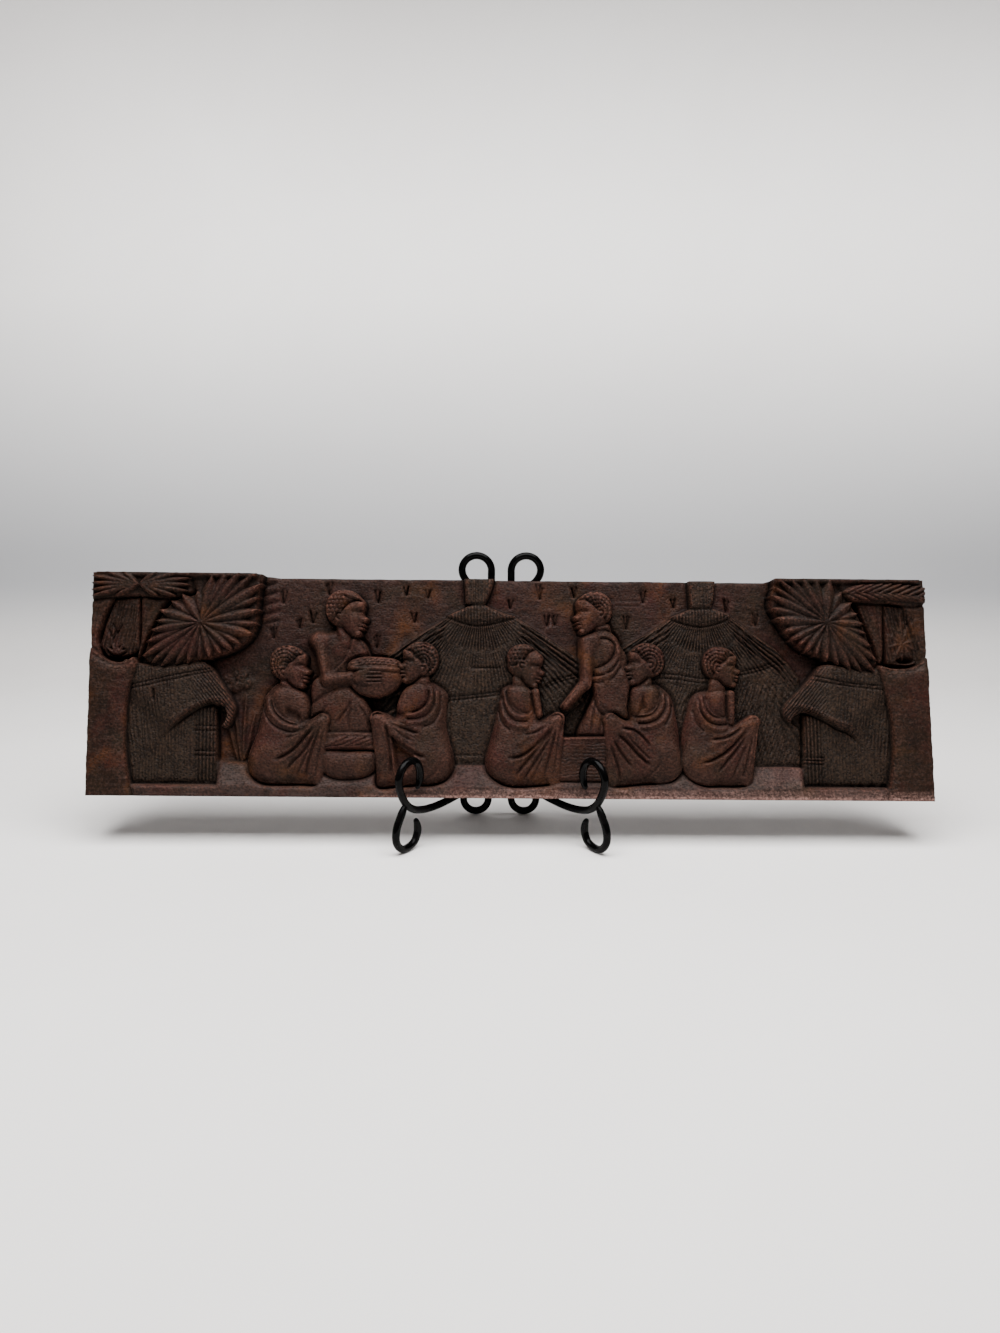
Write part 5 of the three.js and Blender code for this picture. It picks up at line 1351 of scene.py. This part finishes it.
def open_group(name, values, results, place=True):
    """An empty shader group with these inputs and outputs."""
    tree = bpy.data.node_groups.new(name, "ShaderNodeTree")
    socket = tree.interface.new_socket
    if place:
        socket("Place", in_out="INPUT", socket_type="NodeSocketVector")
    for key, value in values.items():
        socket(key, in_out="INPUT", socket_type="NodeSocketFloat").default_value = value
    for key in results:
        socket(key, in_out="OUTPUT", socket_type="NodeSocketFloat")
    return tree, put(tree, "NodeGroupInput").outputs


def close_group(tree, **results):
    out = put(tree, "NodeGroupOutput")
    for key, value in results.items():
        tree.links.new(value, out.inputs[key])
    return tree


def fibre_group():
    """Long grain: fine streaks along the plank, darker pores, and their height."""
    values = {"Fibre scale": 900.0, "Stretch": 14.0, "Pore share": 0.34}
    tree, given = open_group("long_fibre", values, ("Streak", "Pore", "Height"))
    parts = put(tree, "ShaderNodeSeparateXYZ", {0: given["Place"]}).outputs
    drawn_out = sum_of(tree, "DIVIDE", parts["X"], given["Stretch"])
    drawn = {"X": drawn_out, "Y": parts["Y"], "Z": parts["Z"]}
    drawn = put(tree, "ShaderNodeCombineXYZ", drawn).outputs[0]
    coarse = {"Vector": drawn, "Scale": given["Fibre scale"], "Detail": 5.0, "Roughness": 0.65}
    streak = put(tree, "ShaderNodeTexNoise", coarse).outputs[0]
    finer = sum_of(tree, "MULTIPLY", given["Fibre scale"], 2.6)
    fine = put(tree, "ShaderNodeTexNoise", {"Vector": drawn, "Scale": finer, "Detail": 2.0})
    pore = ramp(tree, fine.outputs[0], given["Pore share"], 0.46, 1.0, 0.0)
    height = sum_of(tree, "SUBTRACT", streak, sum_of(tree, "MULTIPLY", pore, 0.5))
    return close_group(tree, Streak=streak, Pore=pore, Height=height)


def patch_group():
    """Uneven patches: stain, rubbing or dust that lies thicker in some places."""
    values = {"Patch scale": 60.0, "Start": 0.45, "Full": 0.62, "Seed": 0.0, "Detail": 4.0}
    tree, given = open_group("uneven_patches", values, ("Patch",))
    moved = {0: given["Place"], 1: given["Seed"]}
    moved = put(tree, "ShaderNodeVectorMath", moved, operation="ADD").outputs[0]
    cloud = {"Vector": moved, "Scale": given["Patch scale"], "Detail": given["Detail"]}
    cloud = put(tree, "ShaderNodeTexNoise", {**cloud, "Roughness": 0.6, "Distortion": 0.4})
    patch = ramp(tree, cloud.outputs[0], given["Start"], given["Full"], smooth=True)
    return close_group(tree, Patch=patch)


def comb_group():
    """Fine combed lines: dark valleys one step apart, and their height in millimetres."""
    values = {"Turn": 0.0, "Depth": 0.0, "Sharpness": 1.7}
    tree, given = open_group("combed_lines", values, ("Valley", "Height"), place=False)
    angle = sum_of(tree, "MULTIPLY", given["Turn"], 2 * math.pi)
    wave = scaled(tree, sum_of(tree, "COSINE", angle, 0.0), 0.5, 0.5)
    line = sum_of(tree, "POWER", wave, given["Sharpness"])
    valley = sum_of(tree, "MULTIPLY", line, given["Depth"])
    return close_group(tree, Valley=valley, Height=sum_of(tree, "MULTIPLY", valley, -1.0))


def stipple_group():
    """Close dots left by the point of the knife: 1 in the middle of a dot, 0 between."""
    tree, given = open_group("knife_stipple", {"Dot scale": 600.0, "Dot size": 0.5}, ("Dot",))
    cells = put(
        tree, "ShaderNodeTexVoronoi", {"Vector": given["Place"], "Scale": given["Dot scale"]},
    )
    dot = ramp(tree, cells.outputs["Distance"], 0.1, given["Dot size"], 1.0, 0.0, smooth=True)
    return close_group(tree, Dot=dot)


fibre, patches, comb_lines, stipple = fibre_group(), patch_group(), comb_group(), stipple_group()


def used(tree, group, place, **values):
    """Places a group; the values are named after its sockets, with underlines."""
    node = put(tree, "ShaderNodeGroup", {"Place": place}, node_tree=group)
    for key, value in values.items():
        node.inputs[key.replace("_", " ").capitalize()].default_value = value
    return node


def board_place(tree):
    """The board's own directions, turned back from its lean so that X runs along the grain."""
    where = put(tree, "ShaderNodeTexCoord").outputs["Object"]
    turned = put(tree, "ShaderNodeMapping", {"Vector": where, "Rotation": (LEAN, 0, 0)})
    return turned.outputs[0]


def new_material(name, shine):
    material = bpy.data.materials.new(name)
    material.use_nodes = True
    shader = material.node_tree.nodes["Principled BSDF"]
    shader.inputs["Specular IOR Level"].default_value = shine
    return material, material.node_tree, shader


def raise_surface(tree, shader, height, strength, distance):
    """Gives the surface a fine relief of this height, in metres."""
    settings = {"Height": height, "Strength": strength, "Distance": distance}
    bump = put(tree, "ShaderNodeBump", settings)
    tree.links.new(bump.outputs["Normal"], shader.inputs["Normal"])


carved, tree, shader = new_material("stained_carved_face", 0.05)
place = board_place(tree)
mask = {}
for name in masks:
    mask[name] = put(tree, "ShaderNodeAttribute", attribute_name=name).outputs["Fac"]


def by(a, b, clamp=False):
    return sum_of(tree, "MULTIPLY", a, b, clamp)


TONES = {
    "thatch": (36, 29, 24),
    "leaf": (29, 21, 17),
    "trunk": (32, 21, 15),
    "figure": (43, 27, 22),
    "ground": (48, 38, 35),
    "hair": (23, 18, 15),
}
tone = colour_of(38, 24, 21)
for name, shade in TONES.items():
    tone = shift(tree, mask[name], tone, colour_of(*shade))
STAINS = {  # scale of the patches, where they start and are full, seed, detail
    "red": (34.0, 0.44, 0.68, 3.0, 2.0),
    "amber": (30.0, 0.52, 0.74, 11.0, 2.5),
    "moss": (26.0, 0.48, 0.7, 17.0, 2.5),
    "dark": (60.0, 0.46, 0.68, 23.0, 3.0),
    "speck": (560.0, 0.42, 0.66, 5.0, 4.0),
}
stain = {}
for name, (scale, start, full, seed, detail) in STAINS.items():
    patch = used(tree, patches, place, patch_scale=scale, start=start, full=full)
    patch.inputs["Seed"].default_value = seed
    patch.inputs["Detail"].default_value = detail
    stain[name] = patch.outputs[0]
grain = used(tree, fibre, place, fibre_scale=420.0, stretch=5.0, pore_share=0.36).outputs
dots = used(tree, stipple, place, dot_scale=560.0, dot_size=0.62).outputs[0]
turns = {"Turn": mask["comb_turn"], "Depth": mask["comb_deep"]}
cut_lines = put(tree, "ShaderNodeGroup", turns, node_tree=comb_lines).outputs
warm_wood = sum_of(tree, "SUBTRACT", 1.0, by(mask["thatch"], 0.85), True)
worn_and_lit = by(mask["wear_and_highlight"], sum_of(tree, "ADD", stain["speck"], 0.3))
knife_dots = by(dots, scaled(tree, mask["thatch"], 0.26, 0.5))
LAYERS = (  # how much of each lies on the wood, from the first to the last, and its colour; stains and wear, with painted highlight and painted shade among them
    (by(by(stain["red"], 0.5), warm_wood), (50, 22, 20)),
    (by(by(stain["amber"], 0.6), warm_wood), (76, 44, 22)),
    (by(by(stain["moss"], 0.55), warm_wood), (27, 25, 17)),
    (by(stain["dark"], 0.5), (11, 8, 7)),
    (by(stain["speck"], 0.4), (62, 45, 38)),
    (by(by(stain["speck"], 0.22), mask["thatch"]), (50, 42, 28)),
    # painted highlight on raised places, with the rubbing there
    (by(worn_and_lit, 0.75, True), (88, 56, 46)),
    (by(mask["rubbed"], sum_of(tree, "ADD", stain["speck"], 0.4), True), (132, 102, 94)),
    (by(grain["Pore"], 0.4), (19, 14, 12)),
    # painted shade in the knife's dots, with the stain that gathers in them
    (knife_dots, (14, 11, 9)),
    # painted shade in the fine combed valleys, with the stain that gathers in them
    (by(cut_lines["Valley"], 0.8, True), (9, 7, 6)),
    # painted shade in the hollows, with the stain that gathers in them
    (by(mask["hollow"], 0.85), (11, 8, 7)),
)
for share, shade in LAYERS:
    tone = shift(tree, share, tone, colour_of(*shade))
tree.links.new(tone, shader.inputs["Base Color"])
dulled = sum_of(tree, "ADD", grain["Streak"], mask["hollow"])
tree.links.new(ramp(tree, dulled, 0.3, 1.3, 0.36, 0.75), shader.inputs["Roughness"])
mottle = put(tree, "ShaderNodeTexNoise", {"Vector": place, "Scale": 620.0, "Detail": 3.0})
height = sum_of(tree, "ADD", by(grain["Height"], 0.22), by(mottle.outputs[0], 0.5))
height = sum_of(tree, "SUBTRACT", height, by(knife_dots, 0.5))
height = sum_of(tree, "ADD", height, by(cut_lines["Height"], 0.85))
raise_surface(tree, shader, height, 0.8, 0.001)

sawn, tree, shader = new_material("stained_sawn_back", 0.3)
place = board_place(tree)
grain = used(tree, fibre, place, fibre_scale=300.0, stretch=22.0, pore_share=0.38).outputs
worn = used(tree, patches, place, patch_scale=30.0, start=0.44, full=0.66, seed=31.0).outputs[0]
saw = {"Vector": place, "Scale": 130.0, "Distortion": 3.0, "Detail": 2.0, "Detail Scale": 2.0}
saw_lines = put(tree, "ShaderNodeTexWave", saw, bands_direction="X").outputs["Fac"]
tone = shift(tree, worn, colour_of(46, 33, 28), colour_of(62, 44, 36))
tone = shift(tree, by(grain["Streak"], 0.6), tone, colour_of(38, 28, 24))
tone = shift(tree, by(grain["Pore"], 0.6), tone, colour_of(22, 17, 15))
tree.links.new(tone, shader.inputs["Base Color"])
rough = ramp(tree, grain["Streak"], low=0.55, high=0.85)
tree.links.new(rough, shader.inputs["Roughness"])
height = sum_of(tree, "ADD", grain["Height"], by(saw_lines, 0.5))
raise_surface(tree, shader, height, 0.5, 0.0005)

board.data.materials.append(carved)
board.data.materials.append(sawn)
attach(board, "root")
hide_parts("carved_panel")

# ==== The wire easel =====================================================================
# Round mild-steel rod, bent cold round pins, welded and painted gloss black. Two halves,
# each an upright with a curl at both ends, an arm that hooks the board, and a scroll foot.
ROD = 5.6
EASEL_TALL, EASEL_DEEP, FRONT_SPREAD = 204.0, 82.6, 69.4
HALF_GAP_TOP, HALF_GAP_LOW = 7.4, 8.9
TOP_CURL, LOW_CURL = 11.4, 9.9
BACK = math.radians(2.5)
EASEL_PLACE = Vector((-8.0, -FEET_AHEAD, 0.0))


def curl(cx, cy, r, end):
    """A curl from the straight rod round to an end angle, closing in a little."""
    start, steps, closing = 180, 40, 0.12
    out = []
    for k in range(steps + 1):
        t = k / steps
        a, rr = math.radians(mix(start, end, t)), r * (1 - closing * t * t)
        out.append((cx + rr * math.cos(a), cy + rr * math.sin(a)))
    return out


def upright_path(sign):
    reach = EASEL_TALL / math.cos(BACK)
    top_at = (HALF_GAP_TOP + TOP_CURL, reach - TOP_CURL - ROD / 2)
    low_at = (HALF_GAP_LOW + LOW_CURL, 0.975 * LOW_CURL + ROD / 2 + 0.1)
    path = curl(*top_at, TOP_CURL, -80)[::-1] + curl(*low_at, LOW_CURL, 440)
    return [(sign * x, EASEL_DEEP + up * math.sin(BACK), up * math.cos(BACK)) for x, up in path]


ARM_OUT = FRONT_SPREAD - HALF_GAP_LOW
ARM_RUN = math.hypot(ARM_OUT, EASEL_DEEP)
ARM = [
    (15.2, 43.5), (18.6, 50), (18.8, 57), (14.8, 63.8), (7.6, 66.2), (0.2, 63), (-4.2, 55.5),
    (-2.6, 46), (3.5, 35.6), (11.5, 29.6), (21.5, 26.6), (34, 25.2), (47, 25.2), (62, 26.2),
    (80, 28), (ARM_RUN, 28.8),
]
FOOT = [
    (3.4, 36.5), (-3, 27.5), (-7.4, 19), (-7.6, 10.2), (-2.2, 3.9), (5, 2.95), (12.2, 5.4),
    (15.8, 12), (15.2, 18), (13.2, 22.5),
]


def along(sign, profile):
    """Stands a side view of one half on the slant line from the front foot to the upright."""
    c, s = ARM_OUT / ARM_RUN, EASEL_DEEP / ARM_RUN
    return [(sign * (FRONT_SPREAD - a * c), a * s, z) for a, z in curve(profile, False, 8)]


def wire_tree():
    """Rod along a path, drawn down a little and rounded at its cut ends."""
    tree = bpy.data.node_groups.new("wire_rod", "GeometryNodeTree")
    socket = tree.interface.new_socket
    socket("Path", in_out="INPUT", socket_type="NodeSocketGeometry")
    values = {
        "Rod radius": ROD / 2000, "Tip share": 0.66, "Tip length": 0.009, "Ring spacing": 0.0011,
    }
    for name, value in values.items():
        socket(name, in_out="INPUT", socket_type="NodeSocketFloat").default_value = value
    socket("Sides", in_out="INPUT", socket_type="NodeSocketInt").default_value = 20
    socket("Paint", in_out="INPUT", socket_type="NodeSocketMaterial")
    socket("Rod", in_out="OUTPUT", socket_type="NodeSocketGeometry")
    given = put(tree, "NodeGroupInput").outputs
    line = {"Curve": given["Path"], "Length": given["Ring spacing"]}
    line = put(tree, "GeometryNodeResampleCurve", line, mode="LENGTH").outputs["Curve"]
    here = put(tree, "GeometryNodeSplineParameter").outputs["Length"]
    whole = put(tree, "GeometryNodeSplineLength").outputs["Length"]
    near = sum_of(tree, "MINIMUM", here, sum_of(tree, "SUBTRACT", whole, here))
    drawn = ramp(tree, near, 0.0, given["Tip length"], given["Tip share"], 1.0, smooth=True)
    left = sum_of(tree, "SUBTRACT", 1.0, sum_of(tree, "DIVIDE", near, given["Rod radius"], True))
    inner = sum_of(tree, "SUBTRACT", 1.0, sum_of(tree, "MULTIPLY", left, left))
    round_end = sum_of(tree, "MAXIMUM", sum_of(tree, "SQRT", inner, 0.0), 0.12)
    share = sum_of(tree, "MULTIPLY", drawn, round_end)
    radius = sum_of(tree, "MULTIPLY", share, given["Rod radius"])
    line = put(tree, "GeometryNodeSetCurveRadius", {"Curve": line, "Radius": radius}).outputs[0]
    ring = {"Resolution": given["Sides"], "Radius": 1.0}
    ring = put(tree, "GeometryNodeCurvePrimitiveCircle", ring).outputs["Curve"]
    width = put(tree, "GeometryNodeInputRadius").outputs[0]
    tube = {"Curve": line, "Profile Curve": ring, "Scale": width, "Fill Caps": True}
    tube = put(tree, "GeometryNodeCurveToMesh", tube).outputs["Mesh"]
    smooth = put(tree, "GeometryNodeSetShadeSmooth", {"Geometry": tube}).outputs[0]
    painted = put(tree, "GeometryNodeSetMaterial", {"Geometry": smooth, "Material": given["Paint"]})
    tree.links.new(painted.outputs[0], put(tree, "NodeGroupOutput").inputs["Rod"])
    return tree


black, tree, coat = new_material("black_gloss_paint", 0.05)
where = put(tree, "ShaderNodeTexCoord").outputs["Object"]
handled = used(tree, patches, where, patch_scale=90.0, start=0.4, full=0.68, seed=7.0).outputs[0]
tree.links.new(ramp(tree, handled, low=0.08, high=0.2), coat.inputs["Roughness"])
paint_tone = shift(tree, handled, colour_of(3, 3, 3), colour_of(9, 8, 8))
tree.links.new(paint_tone, coat.inputs["Base Color"])
skin = put(tree, "ShaderNodeTexNoise", {"Vector": where, "Scale": 260.0, "Detail": 2.0})
raise_surface(tree, coat, skin.outputs[0], 0.25, 0.0004)
wire = wire_tree()


def bend_rod(name, points, node):
    """Bends one rod along its path and sets it in place of the plain one."""
    line = bpy.data.curves.new(name, "CURVE")
    line.dimensions = "3D"
    spline = line.splines.new("POLY")
    spline.points.add(len(points) - 1)
    for point, at in zip(spline.points, points):
        place = (Vector(at) + EASEL_PLACE) * 0.001
        point.co = (*place, 1)
    path = bpy.data.objects.new(name + "_path", line)
    bpy.context.scene.collection.objects.link(path)
    modifier = path.modifiers.new("wire", "NODES")
    modifier.node_group = wire
    modifier[wire.interface.items_tree["Paint"].identifier] = black
    graph = bpy.context.evaluated_depsgraph_get()
    mesh = bpy.data.meshes.new_from_object(path.evaluated_get(graph))
    path.modifiers.clear()
    bpy.data.objects.remove(path)
    rod = bpy.data.objects.new(name, mesh)
    mesh.name = name
    bpy.context.scene.collection.objects.link(rod)
    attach(rod, "root")
    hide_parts(node)


for side, sign in (("left", -1), ("right", 1)):
    bend_rod(f"upright_rod_{side}", upright_path(sign), f"easel_upright_{side}")
    bend_rod(f"arm_rod_{side}", along(sign, ARM), f"easel_arm_{side}")
    bend_rod(f"foot_rod_{side}", along(sign, FOOT), f"easel_foot_{side}")
TIES = {"lower": 62, "upper": 150}  # height of each tie
for name, at in TIES.items():
    half = mix(HALF_GAP_LOW, HALF_GAP_TOP, at / EASEL_TALL)
    y = EASEL_DEEP + at * math.tan(BACK)
    bend_rod(f"tie_rod_{name}", [(-half, y, at), (0, y, at), (half, y, at)], f"easel_tie_{name}")

# ==== The table, the light and the camera ================================================
# A pale seamless sheet swept up behind the piece, a broad soft light from above and in
# front, and the camera a little above the board's middle, looking down twelve degrees.
SWEEP_FRONT, SWEEP_TURN, SWEEP_RADIUS, SWEEP_TOP, SWEEP_STEPS = -3.0, 0.45, 1.0, 3.2, 24
sweep_profile = [(SWEEP_FRONT, 0.0), (SWEEP_TURN, 0.0)]
for k in range(1, SWEEP_STEPS + 1):
    a = math.pi / 2 * k / SWEEP_STEPS
    y = SWEEP_TURN + SWEEP_RADIUS * math.sin(a)
    sweep_profile.append((y, SWEEP_RADIUS - SWEEP_RADIUS * math.cos(a)))
sweep_profile.append((SWEEP_TURN + SWEEP_RADIUS, SWEEP_TOP))
sweep = bpy.data.meshes.new("pale_sweep")
verts = [(x, y, z) for x in (-4, 4) for y, z in sweep_profile]
m = len(sweep_profile)
sweep.from_pydata(verts, [], [(k, m + k, m + k + 1, k + 1) for k in range(m - 1)])
sweep.polygons.foreach_set("use_smooth", np.ones(len(sweep.polygons), bool))
paper, tree, sheet_shader = new_material("pale_paper", 0.5)
sheet_shader.inputs["Roughness"].default_value = 0.7
where = put(tree, "ShaderNodeTexCoord").outputs["Object"]
cloudy = used(tree, patches, where, patch_scale=2.2, start=0.3, full=0.7, seed=2.0).outputs[0]
sheet_tone = shift(tree, cloudy, colour_of(236, 232, 229), colour_of(241, 238, 235))
# painted shade: the sheet is darker where it turns up from the floor, fading out higher up the wall
high = put(tree, "ShaderNodeSeparateXYZ", {"Vector": where}).outputs["Z"]
turning_up = ramp(tree, high, 0.004, 0.07, smooth=True)
standing = ramp(tree, high, 0.1, 0.5, 1.0, 0.0)
shaded = sum_of(tree, "MULTIPLY", turning_up, standing)
sheet_tone = shift(tree, shaded, sheet_tone, colour_of(199, 199, 201))
tree.links.new(sheet_tone, sheet_shader.inputs["Base Color"])
sweep.materials.append(paper)
sweep_object = bpy.data.objects.new("pale_sweep", sweep)
bpy.context.scene.collection.objects.link(sweep_object)


def lamp(name, at, look_at, size, watts, spread):
    light = bpy.data.lights.new(name, "AREA")
    light.shape = "RECTANGLE"
    light.size, light.size_y = size
    light.energy = watts
    light.spread = math.radians(spread)
    stand = bpy.data.objects.new(name, light)
    stand.location = at
    aim = Vector(look_at) - Vector(at)
    stand.rotation_euler = aim.to_track_quat("-Z", "Y").to_euler()
    bpy.context.scene.collection.objects.link(stand)


lamp("ceiling_panel", (0.0, -0.29, 1.1), (0, -0.12, 0), (1.4, 0.87), watts=31, spread=142)
lamp("wall_strip", (0.16, 0.55, 1.45), (0.16, 1.42, 0.56), (2.6, 0.15), watts=14, spread=66)
world = bpy.data.worlds.new("room")
world.use_nodes = True
room_light = world.node_tree.nodes["Background"]
room_light.inputs["Color"].default_value = (0.9, 0.92, 1.0, 1)
room_light.inputs["Strength"].default_value = 0.08
bpy.context.scene.world = world

eye = bpy.data.cameras.new("camera")
eye.sensor_fit = "HORIZONTAL"
eye.sensor_width = 36
eye.lens = 41.4
eye.clip_start, eye.clip_end = 0.05, 20
viewer = bpy.data.objects.new("camera", eye)
viewer.location = (-0.022634, -0.8118, 0.305714)
yaw, pitch, roll = math.radians(0.944), math.radians(12.435), math.radians(0.447)
level = math.cos(pitch)
ahead = Vector((math.sin(yaw) * level, math.cos(yaw) * level, -math.sin(pitch)))
across_view = Vector((math.cos(yaw), -math.sin(yaw), 0))
up_view = across_view.cross(ahead)
right = across_view * math.cos(roll) + up_view * math.sin(roll)
over = up_view * math.cos(roll) - across_view * math.sin(roll)
turn = viewer.rotation_euler.to_matrix()
for row in range(3):
    turn[row] = (right[row], over[row], -ahead[row])
viewer.rotation_euler = turn.to_euler()
bpy.context.scene.collection.objects.link(viewer)
bpy.context.scene.camera = viewer
